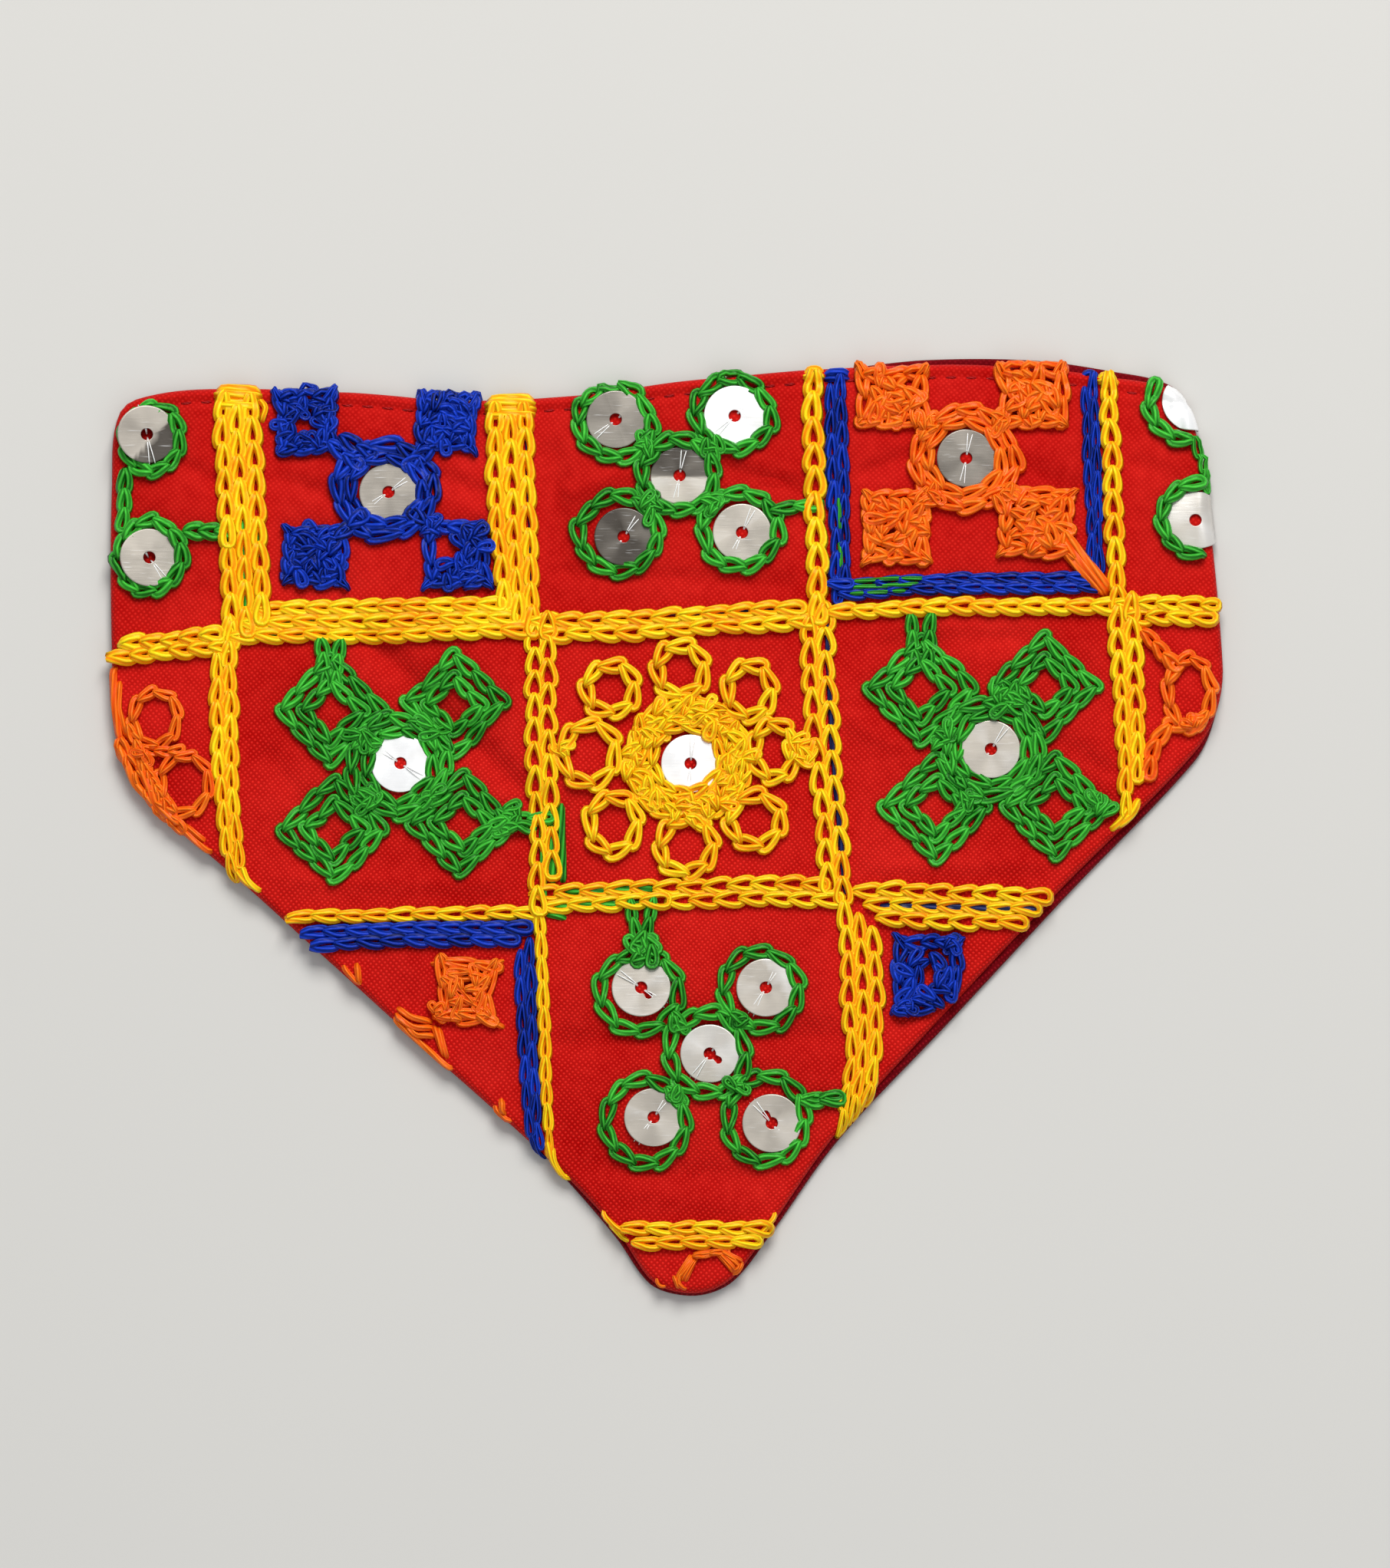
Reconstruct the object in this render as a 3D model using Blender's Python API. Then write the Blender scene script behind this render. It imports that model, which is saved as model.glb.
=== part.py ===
"""Pet bandana lying flat: two cloth panels sewn edge to edge, with raised thread embroidery.

The origin is in the middle of the face that it rests on. +X is towards the right side, +Y
towards the long top edge, which goes round the neck, and +Z up out of the embroidered face.
Every length in the tables below is in millimetres, and MM turns it into metres.
"""

import math
from collections import namedtuple

import bpy
from mathutils import Vector
from mathutils.geometry import delaunay_2d_cdt, interpolate_bezier, intersect_point_line

MM = 0.001

# Cloth and thread
PANEL_WALL = 1.1            # one panel of cloth with the seam allowance pressed inside it
LAYER_GAP = 0.3             # air between one layer and the next
THREAD_HEIGHT = 0.9         # how far the embroidery stands up from the cloth
FRONT_LOW = PANEL_WALL + LAYER_GAP
FRONT_TOP = FRONT_LOW + PANEL_WALL

# How the panels are finished at their edges
RIM_WIDTH = 1.2             # width of the rounded turn at the edge
RIM_DROP = 0.5              # how far the cloth goes down across that turn
TOPSTITCH_IN = 2.6          # the stitched line along the neck edge, from that edge
TOPSTITCH_DEPTH = 0.4
TOPSTITCH_FROM = 52.0       # the stitched line is only in the cloth above this Y
PUFF_END = 4.0              # where the cloth is level again behind the stitched line
FOLD_FADE = 7.0             # a fold dies out over this distance from the edge
THREAD_MARGIN = 1.4         # the seam swallows the embroidery this far from the edge

# How finely the surfaces are divided
EDGE_STEP = 3.4
FRONT_STEP = 4.0
BACK_STEP = 9.0
THREAD_STEP = 4.0
MERGE = 0.04                # plan points nearer than this become one

# Outline, clockwise from the top left corner, with how far each panel stays inside it.
# The back panel shows where front_in is larger than back_in.
EdgePoint = namedtuple("EdgePoint", "x y front_in back_in")
EDGE = [
    EdgePoint(-74.3, 58.0, 0.0, 0.8),
    EdgePoint(-69.6, 60.4, 0.0, 0.8),
    EdgePoint(-59.2, 61.2, 0.0, 0.8),
    EdgePoint(-43.5, 60.7, 0.0, 0.8),
    EdgePoint(-27.9, 59.6, 0.0, 0.8),
    EdgePoint(-12.8, 60.1, 0.0, 0.8),
    EdgePoint(2.8, 61.9, 0.0, 0.6),
    EdgePoint(19.0, 63.3, 0.0, 0.4),
    EdgePoint(34.6, 64.6, 0.8, 0.0),
    EdgePoint(49.7, 64.6, 1.2, 0.0),
    EdgePoint(60.6, 63.2, 1.0, 0.0),
    EdgePoint(69.0, 61.4, 0.7, 0.0),
    EdgePoint(71.6, 57.7, 0.2, 0.4),
    EdgePoint(73.5, 49.8, 0.0, 0.6),
    EdgePoint(75.6, 22.3, 0.0, 0.6),
    EdgePoint(74.6, 16.0, 0.3, 0.3),
    EdgePoint(71.7, 10.2, 0.8, 0.0),
    EdgePoint(54.9, -8.0, 1.4, 0.0),
    EdgePoint(23.6, -42.6, 1.9, 0.0),
    EdgePoint(13.8, -55.9, 1.4, 0.0),
    EdgePoint(9.3, -62.2, 0.9, 0.0),
    EdgePoint(5.0, -64.6, 0.6, 0.0),
    EdgePoint(0.8, -64.5, 0.6, 0.0),
    EdgePoint(-2.4, -62.1, 0.9, 0.0),
    EdgePoint(-7.1, -56.2, 1.2, 0.0),
    EdgePoint(-15.2, -47.2, 0.6, 0.2),
    EdgePoint(-22.7, -39.6, 0.0, 0.8),
    EdgePoint(-33.6, -29.7, 0.0, 0.8),
    EdgePoint(-57.1, -8.1, 0.0, 0.8),
    EdgePoint(-64.9, -1.9, 0.0, 0.8),
    EdgePoint(-71.1, 4.3, 0.0, 0.8),
    EdgePoint(-74.4, 10.4, 0.0, 0.8),
    EdgePoint(-75.3, 24.0, 0.0, 0.8),
    EdgePoint(-75.4, 48.0, 0.0, 0.8),
]

# Soft folds of the front panel: a ridge from one end to the other, or a trough below zero.
Fold = namedtuple("Fold", "x0 y0 x1 y1 half_width rise")
FOLDS = [
    Fold(-35.0, 33.0, -13.0, 10.0, 6.5, 0.9),
    Fold(-49.0, 22.0, -25.0, -2.0, 6.5, 0.8),
    Fold(-70.0, 47.0, -60.0, 41.0, 6.0, 0.7),
    Fold(-42.0, 53.0, -31.0, 41.0, 6.5, 0.6),
    Fold(-9.0, 50.0, 2.0, 36.0, 6.5, 0.8),
    Fold(6.0, 52.0, 16.0, 38.0, 6.0, 0.6),
    Fold(26.0, 17.0, 29.0, -1.0, 6.5, 0.8),
    Fold(40.0, 24.0, 54.0, 12.0, 7.0, 0.7),
    Fold(36.0, 56.0, 47.0, 44.0, 7.0, 0.6),
    Fold(65.0, 48.0, 68.0, 27.0, 6.0, 0.6),
    Fold(-10.0, -21.0, 21.0, -23.0, 6.5, 0.8),
    Fold(-9.0, -38.0, 17.0, -38.0, 6.5, 0.7),
    Fold(-66.0, 14.0, -61.0, 5.0, 5.5, 0.6),
    Fold(-33.0, -17.0, -25.0, -25.0, 6.0, 0.6),
]

# Embroidered columns, from the neck edge down: the left and right side at each height.
Column = namedtuple("Column", "node thread stations")
Station = namedtuple("Station", "along low high")
COLUMNS = [
    Column("yellow_column_1", "yellow", [
        Station(64.0, -61.6, -54.7), Station(26.0, -60.3, -53.4), Station(24.6, -61.9, -58.2),
        Station(7.5, -61.4, -57.8), Station(-8.5, -57.4, -55.2)]),
    Column("yellow_column_2", "yellow", [
        Station(64.0, -24.8, -17.7), Station(26.8, -22.7, -15.9), Station(25.4, -19.7, -15.2),
        Station(-4.5, -18.3, -14.0), Station(-10.5, -18.1, -15.2), Station(-25.4, -17.3, -15.3),
        Station(-41.7, -16.5, -14.7), Station(-50.0, -13.9, -12.5)]),
    Column("yellow_column_3", "yellow", [
        Station(66.0, 18.9, 21.3), Station(32.5, 19.4, 21.9), Station(29.7, 18.8, 23.3),
        Station(11.6, 19.5, 24.3), Station(-4.5, 20.9, 25.3), Station(-7.4, 21.9, 28.3),
        Station(-21.4, 24.0, 29.9), Station(-31.0, 24.2, 29.9), Station(-42.0, 23.4, 25.4)]),
    Column("yellow_column_4", "yellow", [
        Station(66.0, 59.1, 61.7), Station(32.5, 59.8, 62.6), Station(27.8, 60.4, 65.2),
        Station(11.6, 61.4, 65.5), Station(-3.0, 61.6, 64.0)]),
    Column("blue_border_1_left", "blue", [
        Station(66.0, 21.8, 24.9), Station(32.2, 22.4, 25.4)]),
    Column("blue_border_1_right", "blue", [
        Station(66.0, 56.5, 58.7), Station(32.2, 57.1, 59.3)]),
    Column("blue_border_2_side", "blue", [
        Station(-17.3, -20.9, -18.3), Station(-25.4, -20.4, -17.7), Station(-41.0, -19.6, -16.9),
        Station(-47.0, -18.6, -16.6)]),
]

# Embroidered rows, from left to right: the lower and upper side at each distance.
Row = namedtuple("Row", "node thread stations")
ROWS = [
    Row("yellow_row_1_far_left", "yellow", [Station(-77.0, 22.4, 26.1), Station(-62.4, 23.6, 27.3)]),
    Row("yellow_row_1_left", "yellow", [Station(-53.0, 25.5, 31.2), Station(-23.2, 26.4, 32.0)]),
    Row("yellow_row_1_middle", "yellow", [Station(-14.8, 25.4, 30.0), Station(18.4, 26.9, 31.6)]),
    Row("yellow_row_1_right", "yellow", [Station(23.8, 29.0, 31.8), Station(59.3, 29.0, 31.8)]),
    Row("yellow_row_1_far_right", "yellow", [Station(65.7, 27.8, 31.4), Station(77.0, 27.8, 31.4)]),
    Row("yellow_row_2_left", "yellow", [Station(-55.0, -13.5, -10.7), Station(-18.6, -13.3, -10.5)]),
    Row("yellow_row_2_middle", "yellow", [Station(-13.6, -12.0, -7.5), Station(20.9, -10.7, -6.6)]),
    Row("yellow_row_2_right", "yellow", [
        Station(29.3, -13.9, -7.5), Station(49.5, -13.9, -7.8), Station(56.0, -10.5, -7.8)]),
    Row("yellow_row_3", "yellow", [Station(-10.0, -58.2, -53.9), Station(17.0, -58.2, -53.9)]),
    Row("blue_border_1_foot", "blue", [Station(25.9, 32.2, 35.3), Station(56.6, 32.2, 35.3)]),
    Row("blue_border_2_top", "blue", [Station(-53.0, -16.8, -14.0), Station(-18.4, -16.6, -13.8)]),
]

# Motifs are joined from rings, blocks and strands of one thread.
# A ring or block with no hole has band 0.
MOTIFS = {
    "green_rings_upper": "green", "green_rings_lower": "green", "green_rings_left": "green",
    "green_rings_right": "green", "green_diamonds_left": "green", "green_diamonds_right": "green",
    "yellow_flower": "yellow", "blue_cross": "blue", "blue_block": "blue",
    "orange_cross": "orange", "orange_block": "orange", "orange_rings_left": "orange",
    "orange_rings_right": "orange", "orange_arch": "orange",
}
Ring = namedtuple("Ring", "node x y half_width half_height band")
RINGS = [
    Ring("green_rings_upper", -6.7, 55.8, 6.3, 6.2, 2.3),
    Ring("green_rings_upper", 9.1, 57.3, 6.3, 6.2, 2.3),
    Ring("green_rings_upper", 1.7, 48.8, 6.1, 6.1, 2.2),
    Ring("green_rings_upper", -6.0, 40.6, 6.4, 6.4, 2.4),
    Ring("green_rings_upper", 10.0, 41.3, 6.3, 6.3, 2.3),
    Ring("green_rings_lower", -3.3, -22.2, 6.5, 6.5, 2.3),
    Ring("green_rings_lower", 13.1, -22.2, 6.5, 6.5, 2.3),
    Ring("green_rings_lower", 5.8, -31.0, 6.6, 6.6, 2.4),
    Ring("green_rings_lower", -2.4, -40.4, 6.5, 6.5, 2.3),
    Ring("green_rings_lower", 13.8, -40.0, 6.5, 6.5, 2.3),
    Ring("green_rings_left", -70.5, 54.1, 5.7, 5.6, 2.0),
    Ring("green_rings_left", -70.1, 37.4, 5.8, 5.6, 2.0),
    Ring("green_rings_right", 70.0, 57.5, 5.6, 6.0, 1.9),
    Ring("green_rings_right", 72.0, 42.7, 5.9, 6.2, 2.0),
    Ring("green_diamonds_left", -36.2, 8.7, 7.5, 7.5, 3.3),
    Ring("green_diamonds_right", 44.2, 11.1, 7.4, 7.4, 3.2),
    Ring("blue_cross", -37.7, 46.5, 7.2, 7.1, 2.8),
    Ring("orange_cross", 40.8, 51.3, 7.8, 7.8, 3.7),
    Ring("orange_rings_left", -69.1, 15.4, 3.5, 4.4, 1.5),
    Ring("orange_rings_left", -65.9, 6.6, 3.7, 4.8, 1.5),
    Ring("orange_rings_right", 71.8, 19.3, 3.7, 4.4, 1.5),
]
FLOWER = {"node": "yellow_flower", "x": 2.9, "y": 9.6, "core": 9.0, "core_band": 5.0,
          "petals": 8, "petal_reach": 11.8, "petal_radius": 4.2, "petal_band": 1.8}
Block = namedtuple("Block", "node x y half_width half_height band turn")
BLOCKS = [
    Block("green_diamonds_left", -45.6, 16.1, 5.7, 5.7, 4.0, 45.0),
    Block("green_diamonds_left", -28.6, 17.2, 5.4, 5.4, 3.7, 45.0),
    Block("green_diamonds_left", -45.0, -0.1, 5.7, 5.7, 4.0, 45.0),
    Block("green_diamonds_left", -27.6, 0.6, 5.6, 5.6, 3.9, 45.0),
    Block("green_diamonds_right", 34.7, 19.2, 5.7, 5.7, 4.0, 45.0),
    Block("green_diamonds_right", 51.6, 19.7, 5.6, 5.6, 3.9, 45.0),
    Block("green_diamonds_right", 36.7, 2.9, 5.7, 5.7, 4.0, 45.0),
    Block("green_diamonds_right", 53.0, 3.1, 5.6, 5.6, 3.9, 45.0),
    Block("blue_cross", -48.5, 55.8, 4.5, 4.8, 0.0, 0.0),
    Block("blue_cross", -29.8, 55.6, 4.3, 4.4, 0.0, 0.0),
    Block("blue_cross", -47.7, 37.2, 4.8, 4.6, 0.0, 0.0),
    Block("blue_cross", -28.5, 37.6, 4.6, 4.9, 0.0, 0.0),
    Block("blue_block", 35.9, -20.3, 4.8, 5.4, 3.9, 0.0),
    Block("orange_cross", 30.7, 60.0, 4.9, 4.5, 0.0, 0.0),
    Block("orange_cross", 49.8, 59.9, 4.8, 4.4, 0.0, 0.0),
    Block("orange_cross", 31.4, 41.4, 4.8, 5.3, 0.0, 0.0),
    Block("orange_cross", 50.8, 42.3, 5.4, 4.9, 0.0, 0.0),
    Block("orange_block", -27.2, -22.6, 4.6, 4.7, 0.0, 0.0),
]
Strand = namedtuple("Strand", "node x0 y0 x1 y1 width")
STRANDS = [
    Strand("green_rings_upper", 14.6, 44.2, 18.6, 44.7, 2.4),
    Strand("green_rings_lower", -3.3, -12.3, -3.3, -17.3, 3.0),
    Strand("green_rings_lower", 18.6, -37.1, 23.3, -37.1, 2.4),
    Strand("green_rings_left", -73.3, 50.5, -73.3, 41.0, 2.2),
    Strand("green_rings_left", -66.0, 41.1, -61.3, 41.1, 2.3),
    Strand("green_rings_right", 70.8, 53.2, 71.0, 47.4, 2.0),
    Strand("green_diamonds_left", -45.6, 25.0, -45.6, 20.0, 2.8),
    Strand("green_diamonds_left", -23.0, 1.2, -18.9, 1.7, 2.4),
    Strand("green_diamonds_right", 34.6, 28.5, 34.6, 23.0, 2.8),
    Strand("blue_cross", -45.5, 53.0, -40.5, 49.0, 3.6),
    Strand("blue_cross", -33.5, 52.5, -35.5, 50.5, 3.6),
    Strand("blue_cross", -44.5, 40.5, -41.5, 43.0, 3.6),
    Strand("blue_cross", -31.5, 41.0, -34.0, 43.5, 3.6),
    Strand("orange_cross", 53.5, 39.5, 55.9, 37.1, 2.0),
    Strand("orange_block", -31.0, -25.6, -35.5, -25.4, 1.8),
    Strand("orange_rings_left", -68.4, 12.2, -67.0, 10.2, 2.6),
    Strand("orange_rings_left", -66.6, 2.6, -62.6, -1.8, 1.6),
    Strand("orange_rings_right", 67.0, 26.0, 70.4, 22.6, 1.8),
    Strand("orange_rings_right", 71.0, 15.6, 67.0, 9.8, 1.8),
    Strand("orange_arch", 1.4, -62.6, 3.7, -59.7, 1.5),
    Strand("orange_arch", 3.2, -59.7, 8.2, -60.4, 1.5),
]
RING_SIDES = 20
PETAL_SIDES = 14

# Finish of each cloth and thread: colour, roughness
Finish = namedtuple("Finish", "red green blue roughness")
FINISHES = {
    "red_cloth": Finish(0.60, 0.010, 0.015, 0.75),
    "maroon_cloth": Finish(0.23, 0.006, 0.012, 0.80),
    "yellow": Finish(0.90, 0.52, 0.005, 0.45),
    "green": Finish(0.010, 0.30, 0.040, 0.45),
    "blue": Finish(0.008, 0.035, 0.46, 0.45),
    "orange": Finish(1.00, 0.14, 0.005, 0.45),
}

Net = namedtuple("Net", "points triangles")
Patch = namedtuple("Patch", "outer holes")


def clear_scene():
    """Remove every object that the opened file holds."""
    for thing in list(bpy.data.objects):
        bpy.data.objects.remove(thing, do_unlink=True)


def cloth_or_thread(name):
    """Return the material of one finish, made the first time that it is asked for."""
    made = bpy.data.materials.get(name)
    if made:
        return made
    finish = FINISHES[name]
    material = bpy.data.materials.new(name)
    material.use_nodes = True
    shader = material.node_tree.nodes["Principled BSDF"]
    shader.inputs["Base Color"].default_value = (finish.red, finish.green, finish.blue, 1.0)
    shader.inputs["Roughness"].default_value = finish.roughness
    shader.inputs["Metallic"].default_value = 0.0
    return material


def spline_handle(before, at, after, length):
    """Return the handle that leaves a knot along the line between its neighbours."""
    along = Vector((after[0] - before[0], after[1] - before[1])).normalized()
    return Vector((at[0], at[1])) + along * length / 3.0


def smooth_outline(rows, fine=10):
    """Return close rows (point, front_in, back_in) along a smooth closed curve through the table."""
    samples = []
    for index, start in enumerate(rows):
        before = rows[index - 1]
        end = rows[(index + 1) % len(rows)]
        after = rows[(index + 2) % len(rows)]
        length = math.dist(start[:2], end[:2])
        leave = spline_handle(before, start, end, length)
        arrive = spline_handle(after, end, start, length)
        curve = interpolate_bezier(Vector(start[:2]), leave, arrive, Vector(end[:2]), fine + 1)
        for turn in range(fine):
            share = turn / fine
            front_in = start.front_in + share * (end.front_in - start.front_in)
            back_in = start.back_in + share * (end.back_in - start.back_in)
            samples.append((Vector(curve[turn]), front_in, back_in))
    return samples


def even_steps(samples, step):
    """Return the samples nearest to even steps along the closed outline."""
    gaps = [(samples[(i + 1) % len(samples)][0] - samples[i][0]).length for i in range(len(samples))]
    count = round(sum(gaps) / step)
    wanted = sum(gaps) / count
    kept = []
    run = 0.0
    for sample, gap in zip(samples, gaps):
        if run >= len(kept) * wanted - 1e-9 and len(kept) < count:
            kept.append(sample)
        run += gap
    return kept


def moved_in(loop, amounts):
    """Move each point of a clockwise loop towards the inside, square to the loop."""
    moved = []
    for index, point in enumerate(loop):
        along = (loop[(index + 1) % len(loop)] - loop[index - 1]).normalized()
        moved.append(point + Vector((along.y, -along.x)) * amounts[index])
    return moved


def panel_loop(samples, column, further=0.0):
    """Return one panel's outline: the shared outline moved in by the table's column."""
    loop = [sample[0] for sample in samples]
    return moved_in(loop, [sample[column] + further for sample in samples])


def nearest_gap(point, loop):
    """Return the distance from a point to a closed loop."""
    best = math.inf
    for index, start in enumerate(loop):
        best = min(best, segment_gap(point, start, loop[(index + 1) % len(loop)]))
    return best


def segment_gap(point, start, end):
    """Return the distance from a point to a straight stretch."""
    foot, share = intersect_point_line(point, start, end)
    if share <= 0.0:
        foot = start
    elif share >= 1.0:
        foot = end
    return math.hypot(point[0] - foot[0], point[1] - foot[1])


def inside(point, loop):
    """Say whether a point is inside a closed loop, by counting the sides to its right."""
    crossings = 0
    for index, start in enumerate(loop):
        end = loop[(index + 1) % len(loop)]
        if (start[1] > point[1]) != (end[1] > point[1]):
            share = (point[1] - start[1]) / (end[1] - start[1])
            crossings += point[0] < start[0] + share * (end[0] - start[0])
    return crossings % 2 == 1


def bell(share):
    """Return 1 at zero, falling smoothly towards 0 past 1."""
    return math.exp(-share * share)


def ease(share):
    """Return 0 to 1 with a soft start and end."""
    share = min(max(share, 0.0), 1.0)
    return share * share * (3.0 - 2.0 * share)


class Cloth:
    """The front panel's shape: its outline and the height of its cloth at any point."""

    def __init__(self, samples):
        """Keep the panel's outline and the line that the embroidery stops at."""
        self.edge = panel_loop(samples, 1)
        self.thread_edge = panel_loop(samples, 1, THREAD_MARGIN)

    def lift(self, point):
        """Return how far the folds raise the cloth: the sum of the folds, faded at the edge."""
        raised = 0.0
        for fold in FOLDS:
            gap = segment_gap(point, Vector((fold.x0, fold.y0)), Vector((fold.x1, fold.y1)))
            raised += fold.rise * bell(gap / fold.half_width)
        return raised * ease(nearest_gap(point, self.edge) / FOLD_FADE)

    def low(self, point):
        """Return the height of the panel's plain inner side."""
        return FRONT_LOW + self.lift(point)

    def high(self, point):
        """Return the height of the outer side: rounded at the edge, drawn in at the stitching."""
        gap = nearest_gap(point, self.edge)
        drop = RIM_DROP * (1.0 - ease(gap / RIM_WIDTH))
        if point[1] > TOPSTITCH_FROM:
            spread = TOPSTITCH_IN - RIM_WIDTH
            drop += TOPSTITCH_DEPTH * max(0.0, 1.0 - abs(gap - TOPSTITCH_IN) / spread)
        return FRONT_TOP + self.lift(point) - drop

    def thread_low(self, point):
        """Return the height of the embroidery's underside, clear of the cloth."""
        return FRONT_TOP + self.lift(point) + LAYER_GAP

    def thread_high(self, point):
        """Return the height of the embroidery's top."""
        return self.thread_low(point) + THREAD_HEIGHT


def hexagon_points(loop, step, clear):
    """Return the points of a hexagonal net that lie inside a loop and clear of it."""
    points = []
    rise = step * math.sqrt(3.0) / 2.0
    left = min(point.x for point in loop)
    low = min(point.y for point in loop)
    across = int((max(point.x for point in loop) - left) / step) + 2
    up = int((max(point.y for point in loop) - low) / rise) + 2
    for line in range(up):
        for place in range(across):
            point = Vector((left + step * (place + 0.5 * (line % 2)), low + rise * line))
            if inside(point, loop) and nearest_gap(point, loop) > clear:
                points.append(point)
    return points


def triangulate(loops, loose, keep):
    """Return a net of triangles held by the loops, of those whose middle is to be kept."""
    points = []
    faces = []
    for loop in loops:
        faces.append(list(range(len(points), len(points) + len(loop))))
        points.extend(loop)
    points.extend(loose)
    edges = [(face[i - 1], face[i]) for face in faces for i in range(len(face))]
    found = delaunay_2d_cdt(points, edges, [], 0, MERGE, False)
    corners, triangles = found[0], found[2]
    kept = [face for face in triangles if keep(sum((corners[i] for i in face), Vector((0, 0))) / 3.0)]
    used = sorted({corner for face in kept for corner in face})
    place = {corner: index for index, corner in enumerate(used)}
    return Net([corners[i] for i in used], [[place[i] for i in face] for face in kept])


def border(triangles):
    """Return the directed sides that only one triangle has."""
    sides = {(face[i - 1], face[i]) for face in triangles for i in range(len(face))}
    return [side for side in sorted(sides) if (side[1], side[0]) not in sides]


def solid(name, net, low, high, finish):
    """Build one closed object: the net at the low and the high surface, with walls between."""
    count = len(net.points)
    corners = [(p[0] * MM, p[1] * MM, low(p) * MM) for p in net.points]
    corners += [(p[0] * MM, p[1] * MM, high(p) * MM) for p in net.points]
    faces = [[i + count for i in face] for face in net.triangles]
    faces += [face[::-1] for face in net.triangles]
    faces += [[start, end, end + count, start + count] for start, end in border(net.triangles)]
    mesh = bpy.data.meshes.new(name)
    mesh.from_pydata(corners, [], faces)
    mesh.materials.append(cloth_or_thread(finish))
    mesh.shade_smooth()
    mesh.set_sharp_from_angle(angle=math.radians(45.0))
    thing = bpy.data.objects.new(name, mesh)
    bpy.context.scene.collection.objects.link(thing)
    return thing


def make_back_panel(samples):
    """Build the plain back panel: flat underneath, with its upper edge rounded."""
    edge = panel_loop(samples, 2)
    rim = panel_loop(samples, 2, RIM_WIDTH)
    loose = rim + hexagon_points(rim, BACK_STEP, BACK_STEP / 2.0)
    net = triangulate([edge], loose, lambda middle: inside(middle, edge))

    def high(point):
        """Return the upper side: level, and rounded down at the edge."""
        return PANEL_WALL - RIM_DROP * (1.0 - ease(nearest_gap(point, edge) / RIM_WIDTH))

    return solid("back_panel", net, lambda point: 0.0, high, "maroon_cloth")


def make_front_panel(cloth, samples):
    """Build the embroidered panel's cloth, with its folds, rounded edge and stitched line."""
    rim = panel_loop(samples, 1, RIM_WIDTH)
    stitched = panel_loop(samples, 1, TOPSTITCH_IN)
    level = panel_loop(samples, 1, PUFF_END)
    above = [point for point in stitched + level if point.y > TOPSTITCH_FROM]
    inner = [point for point in hexagon_points(rim, FRONT_STEP, FRONT_STEP / 2.0)
             if point.y < TOPSTITCH_FROM or nearest_gap(point, cloth.edge) > PUFF_END + 1.5]
    net = triangulate([cloth.edge], rim + above + inner, lambda middle: inside(middle, cloth.edge))
    return solid("front_panel", net, cloth.low, cloth.high, "red_cloth")


def split_side(start, end):
    """Return points from start up to, not at, end, no further apart than the thread step."""
    count = max(1, math.ceil((end - start).length / THREAD_STEP))
    return [start.lerp(end, turn / count) for turn in range(count)]


def split_loop(corners):
    """Return a closed loop through the corners with its long sides divided."""
    points = []
    for index, corner in enumerate(corners):
        points.extend(split_side(corner, corners[(index + 1) % len(corners)]))
    return points


def band_patch(stations, upright):
    """Return a band's outline: along one side of its stations and back along the other."""
    one = [(s.low, s.along) if upright else (s.along, s.low) for s in stations]
    other = [(s.high, s.along) if upright else (s.along, s.high) for s in stations]
    return Patch(split_loop([Vector(corner) for corner in one + other[::-1]]), [])


def oval(x, y, half_width, half_height, sides):
    """Return an oval loop of the given number of sides."""
    turns = [2.0 * math.pi * (side + 0.5) / sides for side in range(sides)]
    return [Vector((x + half_width * math.cos(t), y + half_height * math.sin(t))) for t in turns]


def ring_patch(x, y, half_width, half_height, band, sides=RING_SIDES):
    """Return an oval with its hole, a band's width inside it."""
    hole = oval(x, y, half_width - band, half_height - band, sides * 7 // 10)
    return Patch(oval(x, y, half_width, half_height, sides), [hole])


def block_loop(block, shrink):
    """Return a block's rectangle, made smaller all round by shrink and turned."""
    wide = block.half_width - shrink
    tall = block.half_height - shrink
    turn = math.radians(block.turn)
    loop = []
    for x, y in ((-wide, -tall), (wide, -tall), (wide, tall), (-wide, tall)):
        loop.append(Vector((block.x + x * math.cos(turn) - y * math.sin(turn),
                            block.y + x * math.sin(turn) + y * math.cos(turn))))
    return loop


def block_patch(block):
    """Return a block's outline, with its hole if it has a band."""
    holes = [block_loop(block, block.band)] if block.band else []
    return Patch(split_loop(block_loop(block, 0.0)), holes)


def strand_patch(strand):
    """Return a straight strand's outline."""
    start = Vector((strand.x0, strand.y0))
    end = Vector((strand.x1, strand.y1))
    side = (end - start).normalized().orthogonal() * strand.width / 2.0
    return Patch(split_loop([start - side, end - side, end + side, start + side]), [])


def flower_patches():
    """Return the flower's thick core and its ring of looped petals."""
    x, y = FLOWER["x"], FLOWER["y"]
    core = FLOWER["core"]
    patches = [ring_patch(x, y, core, core, FLOWER["core_band"])]
    for petal in range(FLOWER["petals"]):
        turn = 2.0 * math.pi * petal / FLOWER["petals"]
        petal_x = x + FLOWER["petal_reach"] * math.cos(turn)
        petal_y = y + FLOWER["petal_reach"] * math.sin(turn)
        radius = FLOWER["petal_radius"]
        patches.append(ring_patch(petal_x, petal_y, radius, radius, FLOWER["petal_band"], PETAL_SIDES))
    return patches


def motif_patches(node):
    """Return every ring, block and strand that the tables give to one motif."""
    patches = [ring_patch(r.x, r.y, r.half_width, r.half_height, r.band) for r in RINGS if r.node == node]
    patches += [block_patch(block) for block in BLOCKS if block.node == node]
    patches += [strand_patch(strand) for strand in STRANDS if strand.node == node]
    if node == FLOWER["node"]:
        patches += flower_patches()
    return patches


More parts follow.
